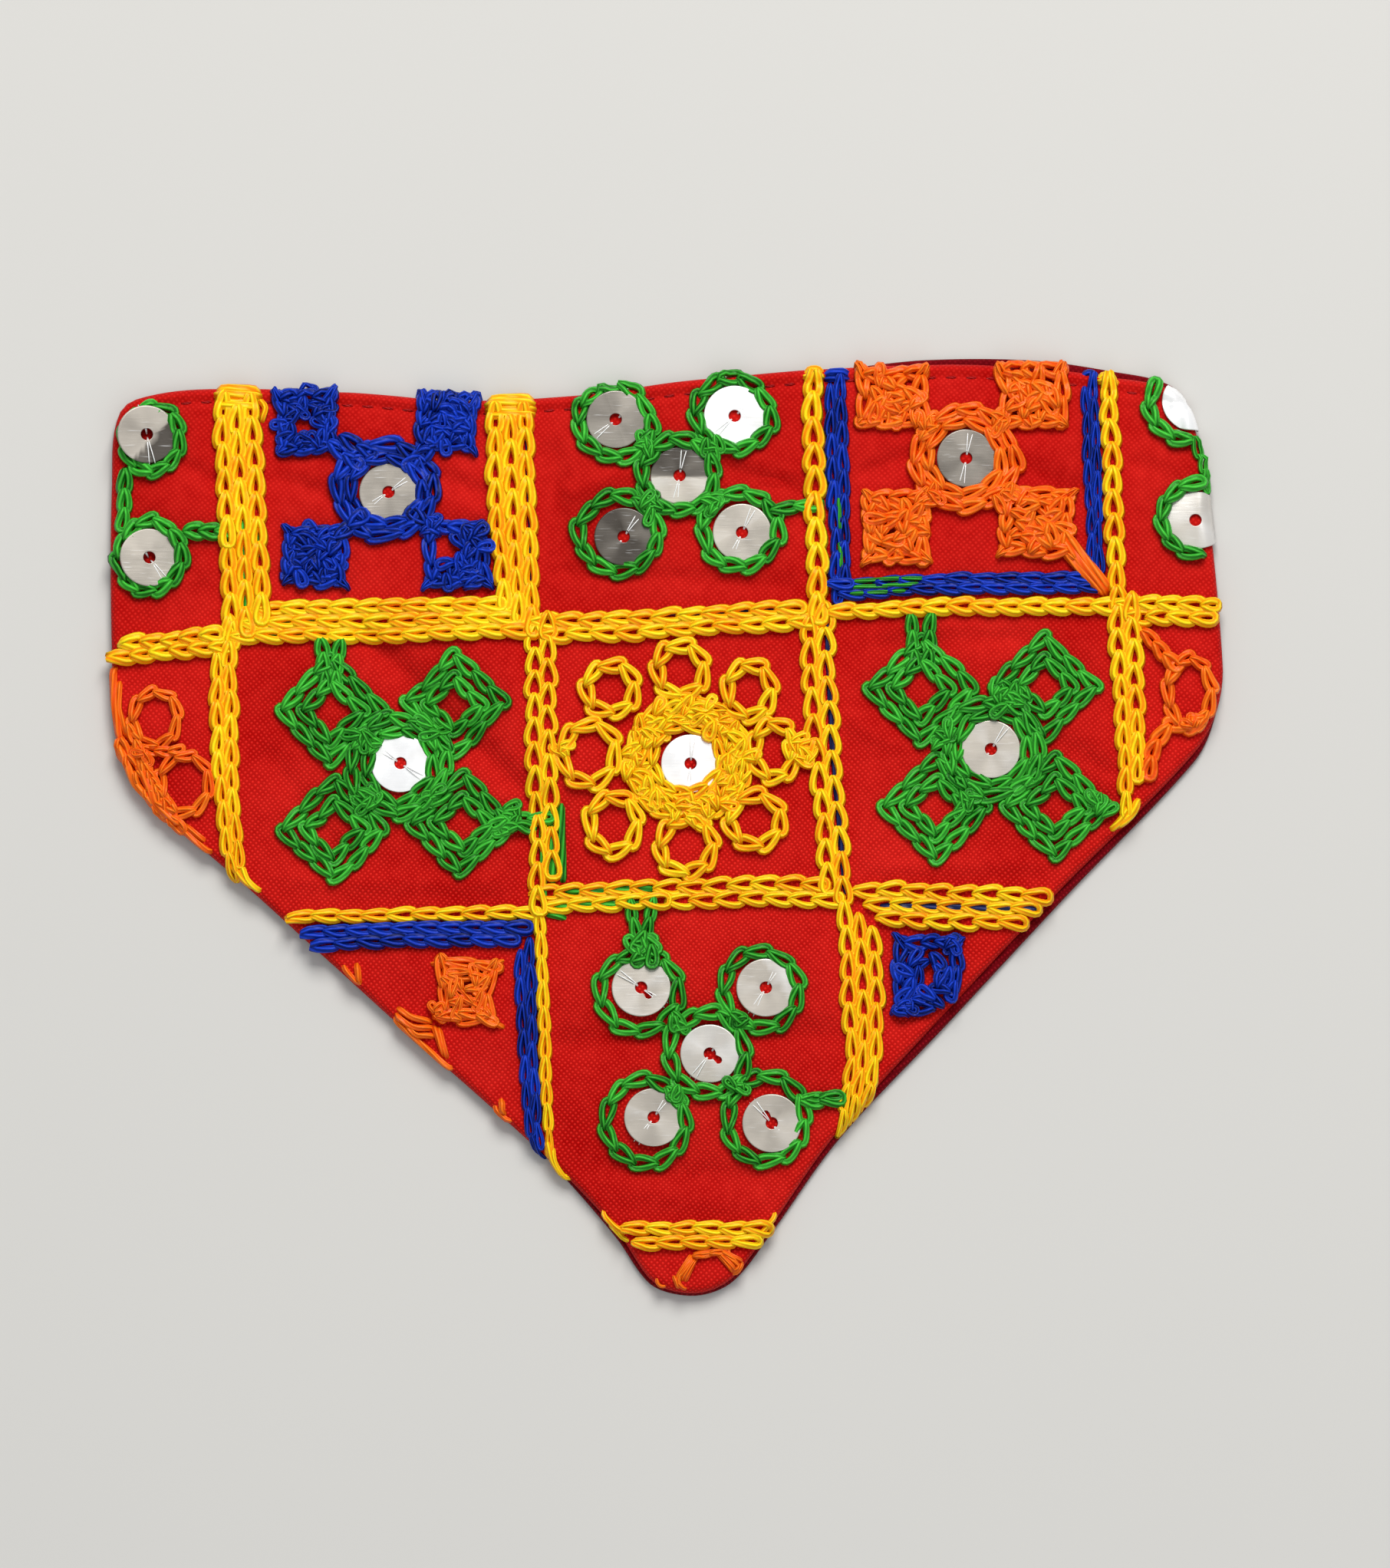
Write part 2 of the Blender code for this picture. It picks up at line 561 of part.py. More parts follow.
def covered(point, patch):
    """Say whether a point is on a patch and not in one of its holes."""
    return inside(point, patch.outer) and not any(inside(point, hole) for hole in patch.holes)


def make_embroidery(node, thread, patches, cloth):
    """Build one raised motif from its joined patches, trimmed where the seam swallows it."""
    loops = [loop for patch in patches for loop in [patch.outer] + patch.holes]
    seam = cloth.thread_edge

    def keep(middle):
        """Keep what any patch covers inside the seam's line."""
        return any(covered(middle, patch) for patch in patches) and inside(middle, seam)

    net = triangulate(loops + [seam], [], keep)
    return solid(node, net, cloth.thread_low, cloth.thread_high, thread)


def main():
    """Build the bandana from the back panel up."""
    clear_scene()
    samples = even_steps(smooth_outline(EDGE), EDGE_STEP)
    cloth = Cloth(samples)
    make_back_panel(samples)
    make_front_panel(cloth, samples)
    for column in COLUMNS:
        make_embroidery(column.node, column.thread, [band_patch(column.stations, True)], cloth)
    for row in ROWS:
        make_embroidery(row.node, row.thread, [band_patch(row.stations, False)], cloth)
    for node, thread in MOTIFS.items():
        make_embroidery(node, thread, motif_patches(node), cloth)


main()
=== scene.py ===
"""Looks of a small pet bandana that lies flat with its stitched face up.

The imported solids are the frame. Each sub-assembly is a class that works out its surfaces as
whole numpy arrays. Lengths are in millimetres in the bandana's own frame: +X to the right along
the neck edge, +Y from the point towards the neck edge, and +Z up out of the stitched face.
"""

import logging
import math
from dataclasses import dataclass, field
from enum import Enum
from typing import NamedTuple

import bpy
import numpy as np
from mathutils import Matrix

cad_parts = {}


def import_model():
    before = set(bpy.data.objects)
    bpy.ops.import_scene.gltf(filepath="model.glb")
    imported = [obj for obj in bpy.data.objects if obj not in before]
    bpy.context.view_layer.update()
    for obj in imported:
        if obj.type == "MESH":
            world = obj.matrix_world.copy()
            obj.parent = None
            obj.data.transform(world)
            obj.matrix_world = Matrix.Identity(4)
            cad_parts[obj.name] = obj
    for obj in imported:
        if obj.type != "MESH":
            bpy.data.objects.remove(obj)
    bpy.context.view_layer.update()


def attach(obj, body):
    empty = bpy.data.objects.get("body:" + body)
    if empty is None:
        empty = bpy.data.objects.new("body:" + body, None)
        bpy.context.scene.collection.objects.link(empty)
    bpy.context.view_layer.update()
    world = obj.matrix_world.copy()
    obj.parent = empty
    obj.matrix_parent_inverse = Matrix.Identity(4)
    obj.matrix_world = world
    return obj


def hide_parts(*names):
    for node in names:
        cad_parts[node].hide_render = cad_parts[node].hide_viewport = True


Array = np.ndarray
Rng = np.random.Generator
Object = bpy.types.Object
Material = bpy.types.Material
Socket = bpy.types.NodeSocket
Colour = tuple[float, float, float]
Row = tuple[float, ...]

MM = 0.001                  # metres
TINY = 1e-9
SEED = 21                   # of the motifs' chains, then of the later steps of the work
STRAND_SEED, STRAY_SEED, SEQUIN_SEED, NECK_SEED = 121, 221, 321, 322
UNEVEN_WIDTH = 0.09         # how far a stitch's width may be off, as a share
UNEVEN_RISE = 0.06          # how much higher than its neighbours a stitch may lie
PAST_EDGE = 1.0             # how far past the edge a stitch may start or end
CHUNK = 3000                # places whose gap to the edge is worked out at a time
FLAT_UV = "flat"            # UV of the cloths: the place in the flat cloth, in decimetres
THREAD_UV = "along"         # UV of the threads: centimetres along, and the turn round
DECIMETRE = 100.0
CENTIMETRE = 10.0
TONE = "tone"               # attribute with how light a stitch or a sequin is

LOG = logging.getLogger("bandana")

# The shared outline: x, y, and how far inside it the front and the back panel stay
EDGE = (
    (-74.3, 58, 0, 0.8), (-69.6, 60.4, 0, 0.8), (-59.2, 61.2, 0, 0.8), (-43.5, 60.7, 0, 0.8),
    (-27.9, 59.6, 0, 0.8), (-12.8, 60.2, 0, 0.8), (2.8, 62.3, 0, 0.6), (19, 63.8, 0, 0.4),
    (34.6, 65.3, 0.8, 0), (49.7, 65.3, 1.2, 0), (60.6, 63.8, 1, 0), (69, 61.7, 0.7, 0),
    (71.6, 57.7, 0.2, 0.4), (73.3, 49.8, 0, 0.6), (75.8, 22.3, 0, 0.6), (75, 15.9, 0.3, 0.3),
    (72, 9.9, 0.7, 0), (54.7, -8.5, 1.1, 0), (38.8, -25.8, 1.2, 0), (23.4, -42.4, 0.7, 0),
    (14.3, -55.2, 0.5, 0), (9.4, -61.5, 0.3, 0), (5.4, -63.5, 0.2, 0), (1, -63.4, 0.2, 0),
    (-2.4, -61.8, 0.4, 0), (-6.8, -55.6, 0.6, 0), (-14.7, -46.7, 0.4, 0.2), (-22.3, -39.2, 0, 0.8),
    (-33.3, -29.3, 0, 0.8), (-56.8, -7.7, 0, 0.8), (-64.1, -1.4, 0, 0.8), (-70.7, 4.7, 0, 0.8),
    (-74.2, 10.6, 0, 0.8), (-75.3, 24, 0, 0.8), (-75.4, 48, 0, 0.8),
)

# Ridges from x, y to x, y, with half width and rise, which is below zero for a trough. The broad
# folds, which the solids have too, come first, and then the finer creases between them.
FOLDS = (
    (-35, 33, -13, 10, 6.5, 0.9), (-49, 22, -25, -2, 6.5, 0.8), (-70, 47, -60, 41, 6, 0.7),
    (-42, 53, -31, 41, 6.5, 0.6), (-9, 50, 2, 36, 6.5, 0.8), (6, 52, 16, 38, 6, 0.6),
    (26, 17, 29, -1, 6.5, 0.8), (40, 24, 54, 12, 7, 0.7), (36, 56, 47, 44, 7, 0.6),
    (65, 48, 68, 27, 6, 0.6), (-10, -21, 21, -23, 6.5, 0.8), (-9, -38, 17, -38, 6.5, 0.7),
    (-66, 14, -61, 5, 5.5, 0.6), (-33, -17, -25, -25, 6, 0.6), (-40.4, 26.5, -17.5, 3.3, 1.8, -1.05),
    (-54, 10, -44, -3, 1.6, -0.45), (-66.5, 50.9, -60.7, 47.7, 1.2, -0.65),
    (-70, 31, -62.5, 36, 1.3, 0.45), (-52.5, 48.5, -42, 45, 1.3, -0.5),
    (-33, 50, -25.5, 46.5, 1.4, -0.55), (-15.4, 52, -14.2, 36, 1.5, -0.6),
    (8.5, 49.8, 19, 46.6, 1.5, -0.9), (-13, 46.5, -3, 50.5, 1.3, 0.4), (-13, 35.5, 16, 33.8, 1.4, -0.5),
    (27.5, 49.5, 34.5, 52, 1.3, -0.6), (47, 50.5, 56, 46.5, 1.9, -0.9), (64, 50.5, 69, 49, 1.2, -0.5),
    (30.5, 25.5, 48, 26.5, 1.5, -0.55), (25.5, 15, 31, 12, 1.6, 0.5), (54, 12, 60, 8, 1.4, -0.5),
    (30, -5.5, 52, -4.5, 1.5, 0.45), (-55, -7, -24, -7.5, 1.6, 0.45),
    (-13.3, -29.5, 22.1, -28, 1.8, -0.6), (-13, -46.5, 16.5, -47.5, 1.6, -0.45),
    (-30, -30.5, -24, -19.5, 1.6, -0.4), (-7, -50, 14, -52, 1.7, 0.4), (31.5, -28, 37, -15.5, 1.5, -0.4),
)


class Thread(Enum):
    """The embroidery threads, by the material slot that each one takes."""

    YELLOW = "yellow_thread"
    GREEN = "green_thread"
    BLUE = "blue_thread"
    ORANGE = "orange_thread"

    @staticmethod
    def of(name: str) -> "Thread":
        """Return the thread that a piece's name starts with."""
        return Thread(name.split("_")[0] + "_thread")


def ease(share: Array) -> Array:
    """Return 0 to 1 with a soft start and end: three squares less two cubes."""
    held = np.clip(share, 0.0, 1.0)
    return held * held * (3.0 - 2.0 * held)


def bell(share: Array) -> Array:
    """Return 1 at zero, falling smoothly to 0: e to minus the square."""
    return np.exp(-np.square(share))


def unit(vectors: Array) -> Array:
    """Return the vectors at length one."""
    return vectors / np.maximum(np.linalg.norm(vectors, axis=-1, keepdims=True), TINY)


def right_of(ways: Array) -> Array:
    """Return directions (n, 2) turned a quarter to the right."""
    return np.stack([ways[:, 1], -ways[:, 0]], axis=1)


def ways_at(turn: Array) -> Array:
    """Return the directions (n, 2) at turns from +X."""
    return np.stack([np.cos(turn), np.sin(turn)], axis=1)


def run_of(points: Array) -> Array:
    """Return how far along the line through the points each one lies."""
    return np.concatenate([[0.0], np.cumsum(np.linalg.norm(np.diff(points, axis=0), axis=1))])


def read_at(wanted: Array, run: Array, rows: Array) -> Array:
    """Return rows read evenly between their runs."""
    return np.stack([np.interp(wanted, run, column) for column in rows.T], axis=1)


def away_from(places: Array, starts: Array, along: Array) -> Array:
    """Return the way (n, k, 2) to each place from the nearest point of each straight stretch."""
    offset = places[:, None] - starts
    share = np.clip((offset * along).sum(axis=2) / (along ** 2).sum(axis=1), 0.0, 1.0)
    return offset - share[..., None] * along


def ridges(places: Array, folds: tuple[Row, ...]) -> Array:
    """Return the height (n) of folds: the sum of bells over their middle lines."""
    table = np.array(folds, float)
    near = np.linalg.norm(away_from(places, table[:, :2], table[:, 2:4] - table[:, :2]), axis=2)
    return (table[:, 5] * bell(near / table[:, 4])).sum(axis=1)


def smooth_loop(knots: Array, fine: int) -> Array:
    """Return close rows along the closed smooth curve through the knots.

    Each stretch is a Bezier curve whose handles run along the line between a knot's neighbours
    and are a third of the stretch long. Columns past x and y change evenly along a stretch.

    Args:
        knots: (n, 4) x, y and two amounts.
        fine: how many rows each stretch gives.

    Returns:
        (n * fine, 4) rows.
    """
    share = (np.arange(fine) / fine)[None, :, None]
    rest = 1.0 - share
    before, start, end, beyond = (np.roll(knots, step, axis=0)[:, None] for step in (1, 0, -1, -2))
    third = np.linalg.norm((end - start)[..., :2], axis=-1, keepdims=True) / 3.0
    leave = start[..., :2] + unit((end - before)[..., :2]) * third
    arrive = end[..., :2] - unit((beyond - start)[..., :2]) * third
    curve = (rest ** 3 * start[..., :2] + 3.0 * rest ** 2 * share * leave
             + 3.0 * rest * share ** 2 * arrive + share ** 3 * end[..., :2])
    amounts = rest * start[..., 2:] + share * end[..., 2:]
    return np.concatenate([curve, amounts], axis=-1).reshape(-1, knots.shape[1])


def inward_of(loop: Array) -> Array:
    """Return the unit directions towards the inside of a clockwise loop."""
    return unit(right_of(np.roll(loop, -1, axis=0) - np.roll(loop, 1, axis=0)))


def ring_faces(count: int, around: int, closed: bool) -> Array:
    """Return the faces (rings, around, 4) between each ring of points and the next one."""
    ring = np.arange(count if closed else count - 1)[:, None]
    following = (ring + 1) % count
    spot = np.arange(around)[None]
    after = (spot + 1) % around
    corners = ((ring, spot), (following, spot), (following, after), (ring, after))
    return np.stack([one * around + other for one, other in corners], axis=-1)


def linked(name: str, data: bpy.types.ID) -> Object:
    """Return a new object of a mesh, lamp or camera, linked to the scene."""
    thing = bpy.data.objects.new(name, data)
    bpy.context.scene.collection.objects.link(thing)
    return thing


@dataclass
class MeshData:
    """The arrays of one mesh: points, faces of four and of three, and their UV."""

    points: Array
    quads: Array
    quad_uv: Array
    tone: Array
    triangles: Array = field(default_factory=lambda: np.zeros((0, 3), int))
    triangle_uv: Array = field(default_factory=lambda: np.zeros((0, 3, 2)))

    @staticmethod
    def joined(parts: list["MeshData"]) -> "MeshData":
        """Return parts without faces of three as one mesh."""
        starts = np.cumsum([0] + [len(part.points) for part in parts])
        quads = np.concatenate([part.quads + start for part, start in zip(parts, starts)])
        points, uv, tone = (np.concatenate([getattr(part, name) for part in parts])
                            for name in ("points", "quad_uv", "tone"))
        return MeshData(points, quads, uv, tone)

    def make(self, name: str, material: Material, uv_name: str) -> Object:
        """Put the arrays into a new smooth object at the origin.

        Args:
            name: the object's name.
            material: its finish.
            uv_name: the name of its UV map.

        Returns:
            The linked object.
        """
        mesh = bpy.data.meshes.new(name)
        faces = self.quads.tolist() + self.triangles.tolist()
        mesh.from_pydata((self.points * MM).tolist(), [], faces)
        uv = np.concatenate([self.quad_uv.ravel(), self.triangle_uv.ravel()])
        mesh.uv_layers.new(name=uv_name).data.foreach_set("uv", uv)
        tone = mesh.attributes.new(TONE, "FLOAT", "POINT")
        tone.data.foreach_set("value", self.tone.astype(np.float32))
        mesh.shade_smooth()
        mesh.materials.append(material)
        return linked(name, mesh)


def shell_from_rings(rings: Array, flats: Array) -> MeshData:
    """Join rings of points into one closed skin with a single point at each pole.

    Args:
        rings: (r, u, 3) points. Each ring goes clockwise seen from +Z on the upper side.
        flats: (r, u, 2) their places in the flat cloth.

    Returns:
        The skin, with faces that point outwards.
    """
    count, around = rings.shape[:2]
    points, flat = (np.concatenate([part.reshape(-1, part.shape[2]), part[[0, -1]].mean(axis=1)])
                    for part in (rings, flats))
    flat = flat / DECIMETRE
    quads = ring_faces(count, around, False)[..., [1, 2, 3, 0]].reshape(-1, 4)
    here = np.arange(around)
    there = (here + 1) % around
    pole, end = count * around, (count - 1) * around
    fan = np.stack([np.full(around, pole), there, here], axis=-1)
    other = np.stack([np.full(around, pole + 1), end + here, end + there], axis=-1)
    triangles = np.concatenate([fan, other])
    return MeshData(points, quads, flat[quads], np.full(len(points), 0.5), triangles, flat[triangles])


@dataclass
class ClothShape:
    """The outlines of the two panels, and where the front cloth lies at any place."""

    top: float = 2.5
    roll: float = 1.1
    most_turn: float = 2.0
    fold_fade: float = 7.0
    stitch_in: float = 1.9
    stitch_half: float = 0.8
    stitch_depth: float = 0.5
    stitch_from: float = 52.0
    pucker_depth: float = 0.42
    pucker_spread: float = 1.35
    around: int = 640
    map_step: float = 0.5
    map_low: tuple[float, float] = (-82.0, -72.0)
    map_cells: tuple[int, int] = (330, 290)

    def __post_init__(self) -> None:
        """Work out both edges from the shared outline, at even steps along it."""
        rows = smooth_loop(np.array(EDGE, float), 24)
        rows = np.concatenate([rows, rows[:1]])
        run = run_of(rows[:, :2])
        rows = read_at(np.arange(self.around) * run[-1] / self.around, run, rows)
        inward = inward_of(rows[:, :2])
        self.front, self.back = (rows[:, :2] + inward * rows[:, i, None] for i in (2, 3))
        self.pucker_map = np.zeros(self.map_cells)

    def nearest_edge(self, places: Array) -> tuple[Array, Array, Array]:
        """Find the nearest place on the front panel's edge.

        Args:
            places: (n, 2) places.

        Returns:
            The gap (n), above zero inside the edge, the nearest place (n, 2) and the unit
            direction from it towards the inside (n, 2).
        """
        starts = self.front[::2]
        along = np.roll(starts, -1, axis=0) - starts
        square = unit(right_of(along))
        found = []
        for part in np.array_split(places, len(places) // CHUNK + 1):
            away = away_from(part, starts, along)
            best = (away ** 2).sum(axis=2).argmin(axis=1)
            away = away[np.arange(len(part)), best]
            sign = np.sign((away * square[best]).sum(axis=1) + TINY)[:, None]
            gap = np.linalg.norm(away, axis=1, keepdims=True) * sign
            inward = unit(away * sign + 0.4 * square[best])
            found.append(np.concatenate([gap, part - away, inward], axis=1))
        joined = np.concatenate(found)
        return joined[:, 0], joined[:, 1:3], joined[:, 3:5]

    def gather(self, places: Array) -> None:
        """Draw the cloth in at the places (n, 2) of all stitches: blur them into a map."""
        cells = ((places - self.map_low) / self.map_step).round().astype(int)
        marks = np.zeros(self.map_cells)
        np.add.at(marks, (cells[:, 0], cells[:, 1]), 1.0)
        across = np.fft.fftfreq(self.map_cells[0], self.map_step)[:, None]
        up = np.fft.rfftfreq(self.map_cells[1], self.map_step)[None, :]
        blur = np.exp(-2.0 * (math.pi * self.pucker_spread) ** 2 * (across ** 2 + up ** 2))
        blurred = np.fft.irfft2(np.fft.rfft2(marks) * blur, s=self.map_cells)
        self.pucker_map = np.clip(blurred / np.percentile(blurred[marks > 0], 60), 0.0, 1.0)

    def drawn_in(self, places: Array) -> Array:
        """Return how far the stitches draw the cloth down, read evenly between map cells."""
        spot = (places - self.map_low) / self.map_step
        cell = np.clip(np.floor(spot).astype(int), 0, np.array(self.map_cells) - 2)
        column, row = cell.T
        right, up = np.clip(spot - cell, 0.0, 1.0).T
        left, other = (self.pucker_map[at, row] * (1.0 - up) + self.pucker_map[at, row + 1] * up
                       for at in (column, column + 1))
        return self.pucker_depth * (left * (1.0 - right) + other * right)

    def level(self, places: Array, gap: Array) -> Array:
        """Return the height of the front cloth's outer side.

        The folds fade at the edge. The stitched line along the neck edge is a soft groove.

        Args:
            places: (n, 2) places.
            gap: (n) distance inside the edge.

        Returns:
            (n) heights.
        """
        raised = ridges(places, FOLDS) * ease(gap / self.fold_fade)
        groove = np.clip(1.0 - np.abs(gap - self.stitch_in) / self.stitch_half, 0.0, 1.0)
        groove = self.stitch_depth * ease(groove) * ease((places[:, 1] - self.stitch_from) / 2.0)
        return self.top + raised - groove - self.drawn_in(places)

    def drape(self, places: Array, offset: Array | float) -> Array:
        """Put places of the flat cloth where they lie, moved out from the cloth.

        Further inside than the turn's radius a place stays where it is in plan. Nearer the edge,
        and past it, the cloth goes round a quarter turn and more of that radius.

        Args:
            places: (n, 2) places in the flat cloth.
            offset: how far out from the cloth's outer side, one for all or (n).

        Returns:
            (n, 3) points.
        """
        gap, foot, inward = self.nearest_edge(places)
        turn = np.clip((self.roll - gap) / self.roll, 0.0, self.most_turn)
        start = np.where(turn[:, None] > 0.0, foot + inward * self.roll, places)
        radius = self.roll + offset
        plan = start - inward * (radius * np.sin(turn))[:, None]
        level = self.level(start, np.maximum(gap, self.roll))
        height = level - self.roll + radius * np.cos(turn)
        return np.concatenate([plan, height[:, None]], axis=1)


class Graph:
    """A material's nodes, each added and joined in one call."""

    def __init__(self, name: str) -> None:
        """Make the material and find its shader."""
        self.material = bpy.data.materials.new(name)
        self.material.use_nodes = True
        self.tree = self.material.node_tree
        self.shader = self.tree.nodes["Principled BSDF"]

    def feed(self, node: bpy.types.Node, inputs: dict) -> None:
        """Set or link a node's inputs, by their name or number."""
        for socket, value in inputs.items():
            if isinstance(value, Socket):
                self.tree.links.new(value, node.inputs[socket])
            else:
                node.inputs[socket].default_value = value

    def add(self, kind: str, inputs: dict, **settings: object) -> bpy.types.NodeOutputs:
        """Add a node.

        Args:
            kind: its type, without the first words that all types share.
            inputs: values or links for its inputs.
            settings: its own properties.

        Returns:
            Its outputs.
        """
        node = self.tree.nodes.new("ShaderNode" + kind)
        for name, value in settings.items():
            setattr(node, name, value)
        self.feed(node, inputs)
        return node.outputs

    def uv(self, name: str) -> Socket:
        """Return a UV map's vectors."""
        return self.add("UVMap", {}, uv_map=name)[0]

    def tone(self) -> Socket:
        """Return how light a stitch or a sequin is."""
        return self.add("Attribute", {}, attribute_name=TONE)["Fac"]

    def turned(self, vector: Socket, scale: Colour, turn: float = 0.0) -> Socket:
        """Return vectors stretched, after a turn about Z."""
        inputs = {"Vector": vector, "Rotation": (0.0, 0.0, turn), "Scale": scale}
        return self.add("Mapping", inputs)[0]

    def maths(self, operation: str, first: object, second: object = 0.0) -> Socket:
        """Return one sum of two values."""
        return self.add("Math", {0: first, 1: second}, operation=operation)[0]

    def weighted(self, *terms: tuple[Socket, float]) -> Socket:
        """Return the sum of values times their weights."""
        first = self.maths("MULTIPLY", *terms[0])
        return self.maths("ADD", first, self.weighted(*terms[1:])) if terms[1:] else first

    def wave(self, value: object) -> Socket:
        """Return a wave between 0 and 1 that repeats each time the value grows by one."""
        swing = self.maths("SINE", self.maths("MULTIPLY", value, math.tau))
        return self.maths("MULTIPLY", self.maths("ADD", swing, 1.0), 0.5)

    def noise(self, vector: object, scale: float, detail: float = 2.0) -> Socket:
        """Return noise from 0 to 1 over a vector."""
        return self.add("TexNoise", {"Vector": vector, "Scale": scale, "Detail": detail})[0]

    def span(self, value: object, low: float, high: float, out_low: float = 0.0,
             out_high: float = 1.0) -> Socket:
        """Return the value moved from one range to another, and held inside it."""
        return self.add("MapRange", {0: value, 1: low, 2: high, 3: out_low, 4: out_high})[0]

    def blend(self, share: object, first: object, second: object) -> Socket:
        """Return a colour between two colours."""
        ends = [(*end, 1.0) if isinstance(end, tuple) else end for end in (first, second)]
        return self.add("Mix", {0: share, 6: ends[0], 7: ends[1]}, data_type="RGBA")[2]

    def bump(self, height: object, strength: float, distance: float,
             under: Socket | None = None) -> Socket:
        """Return normals bent by a height, in millimetres of distance."""
        inputs = {"Height": height, "Strength": strength, "Distance": distance * MM}
        return self.add("Bump", inputs | ({"Normal": under} if under else {}))[0]


@dataclass(frozen=True)
class ClothFinish:
    """A plain weave seen on the bias: raised dots with painted highlight, on a darker ground of painted
    shade.
    """

    name: str
    dark: Colour
    light: Colour
    roughness: float = 0.55
    pitch: float = 0.54
    slant: float = 38.0
    weave_bump: float = 0.12
    ground: float = 0.25
    neck_fade: float = 0.42

    def material(self) -> Material:
        """Build the finish.

        The weave is the product of two waves across each other, pulled a little out of line by
        noise, and fades towards the neck edge. It sets height, and colour: painted highlight on
        the raised dots and painted shade between them. Slower noise varies the colour at random
        and crumples the cloth.

        Returns:
            The material.
        """
        graph = Graph(self.name)
        flat = graph.uv(FLAT_UV)
        cycles = DECIMETRE / self.pitch
        turned = graph.turned(flat, (cycles, cycles, 1.0), -math.radians(self.slant))
        axes = graph.add("SeparateXYZ", {0: turned})
        warp, weft = (graph.wave(graph.maths("ADD", axis, graph.noise(flat, scale, 1.0)))
                      for axis, scale in zip(axes, (14.0, 11.0)))
        dots = graph.maths("MULTIPLY", warp, weft)
        up = graph.add("SeparateXYZ", {0: flat})[1]
        neck_fade = graph.span(up, -0.05, 0.45, 1.0, self.neck_fade)
        dots = graph.maths("MULTIPLY", graph.maths("SUBTRACT", dots, self.ground), neck_fade)
        dots = graph.maths("ADD", dots, self.ground)
        slub = graph.span(graph.noise(turned, 0.35, 3.0), 0.3, 0.7)
        cloud = graph.span(graph.noise(flat, 5.0, 3.0), 0.3, 0.7)
        # The dots' share is painted highlight on the weave's crowns and painted shade between them
        share = graph.weighted((graph.span(dots, 0.15, 0.85), 0.62), (slub, 0.13), (cloud, 0.25))
        crumple = graph.bump(graph.noise(flat, 26.0, 3.0), 0.4, 0.6)
        graph.feed(graph.shader, {
            "Base Color": graph.blend(share, self.dark, self.light),
            "Roughness": self.roughness, "Specular IOR Level": 0.22,
            "Specular Tint": (*self.light, 1.0), "Sheen Weight": 0.0,
            "Sheen Roughness": 0.5, "Sheen Tint": (*self.light, 1.0),
            "Normal": graph.bump(dots, 0.8, self.weave_bump, crumple)})
        return graph.material


@dataclass(frozen=True)
class ThreadFinish:
    """A glossy thread of twisted plies."""

    name: str
    dark_and_groove_shade: Colour
    bright: Colour
    thickness: float = 0.9
    roughness: float = 0.34
    plies: float = 4.0
    twist: float = 6.0
    ply_bump: float = 0.16
    gloss: float = 0.35

    def material(self) -> Material:
        """Build the finish.

        The plies are a wave that climbs round the thread as it goes along, once for each ply in
        a turn of twist. Fine noise drawn out along the thread is its fibres. The colour falls to its
        dark end, painted shade, in the grooves between plies, and also on darker fibres and stitches.

        Returns:
            The material.
        """
        graph = Graph(self.name)
        along = graph.uv(THREAD_UV)
        axes = graph.add("SeparateXYZ", {0: along})
        plies = graph.wave(
            graph.weighted((axes[0], CENTIMETRE / self.twist), (axes[1], self.plies)))
        fibres = graph.noise(graph.turned(along, (6.0, 14.0, 1.0)), 1.6, 3.0)
        # Low share in the ply grooves gives the painted shade colour
        share = graph.weighted((plies, 0.45), (fibres, 0.35), (graph.tone(), 0.30))
        glint = tuple(part + (1.0 - part) * self.gloss for part in self.bright)
        graph.feed(graph.shader, {
            "Base Color": graph.blend(graph.span(share, 0.18, 0.88), self.dark_and_groove_shade, self.bright),
            "Roughness": self.roughness, "Specular IOR Level": 0.5,
            "Specular Tint": (*glint, 1.0),
            "Normal": graph.bump(plies, 0.8, self.ply_bump, graph.bump(fibres, 0.5, 0.05))})
        return graph.material


@dataclass(frozen=True)
class SequinFinish:
    """Pale foil disc: light or dark by its tone, which is painted reflection, with fine scratches."""

    dark: Colour = (0.055, 0.045, 0.035)
    middle: Colour = (0.50, 0.455, 0.395)
    light: Colour = (0.94, 0.94, 0.95)

    def material(self) -> Material:
        """Build the finish: two blends of colour over the tone, and scratches in the height."""
        graph = Graph("sequin_foil")
        place = graph.add("TexCoord", {})["Object"]
        scratches = graph.noise(graph.turned(place, (300.0, 3600.0, 1.0), 0.6), 1.0)
        tone = graph.tone()
        lower = graph.blend(graph.span(tone, 0.0, 0.5), self.dark, self.middle)
        colour = graph.blend(graph.span(tone, 0.5, 1.0), lower, self.light)
        graph.feed(graph.shader, {
            "Base Color": graph.blend(
                graph.span(scratches, 0.62, 0.75, 0.0, 0.35), colour, self.light),
            "Metallic": 0.25, "Specular IOR Level": 0.5,
            "Roughness": graph.span(graph.noise(place, 260.0), 0.3, 0.7, 0.22, 0.42),
            "Normal": graph.bump(scratches, 0.4, 0.02)})
        return graph.material


@dataclass(frozen=True)
class ClearThreadFinish:
    """Clear sewing thread that shows as fine white glints."""

    pale: Colour = (0.80, 0.79, 0.77)

    def material(self) -> Material:
        """Build the finish: pale and glossy, with beads of lighter glint along it."""
        graph = Graph("clear_nylon")
        glint = graph.span(graph.noise(graph.uv(THREAD_UV), 18.0, 1.0), 0.4, 0.65)
        graph.feed(graph.shader, {
            "Base Color": graph.blend(glint, self.pale, (1.0, 1.0, 1.0)),
            "Roughness": 0.15, "Specular IOR Level": 0.8})
        return graph.material


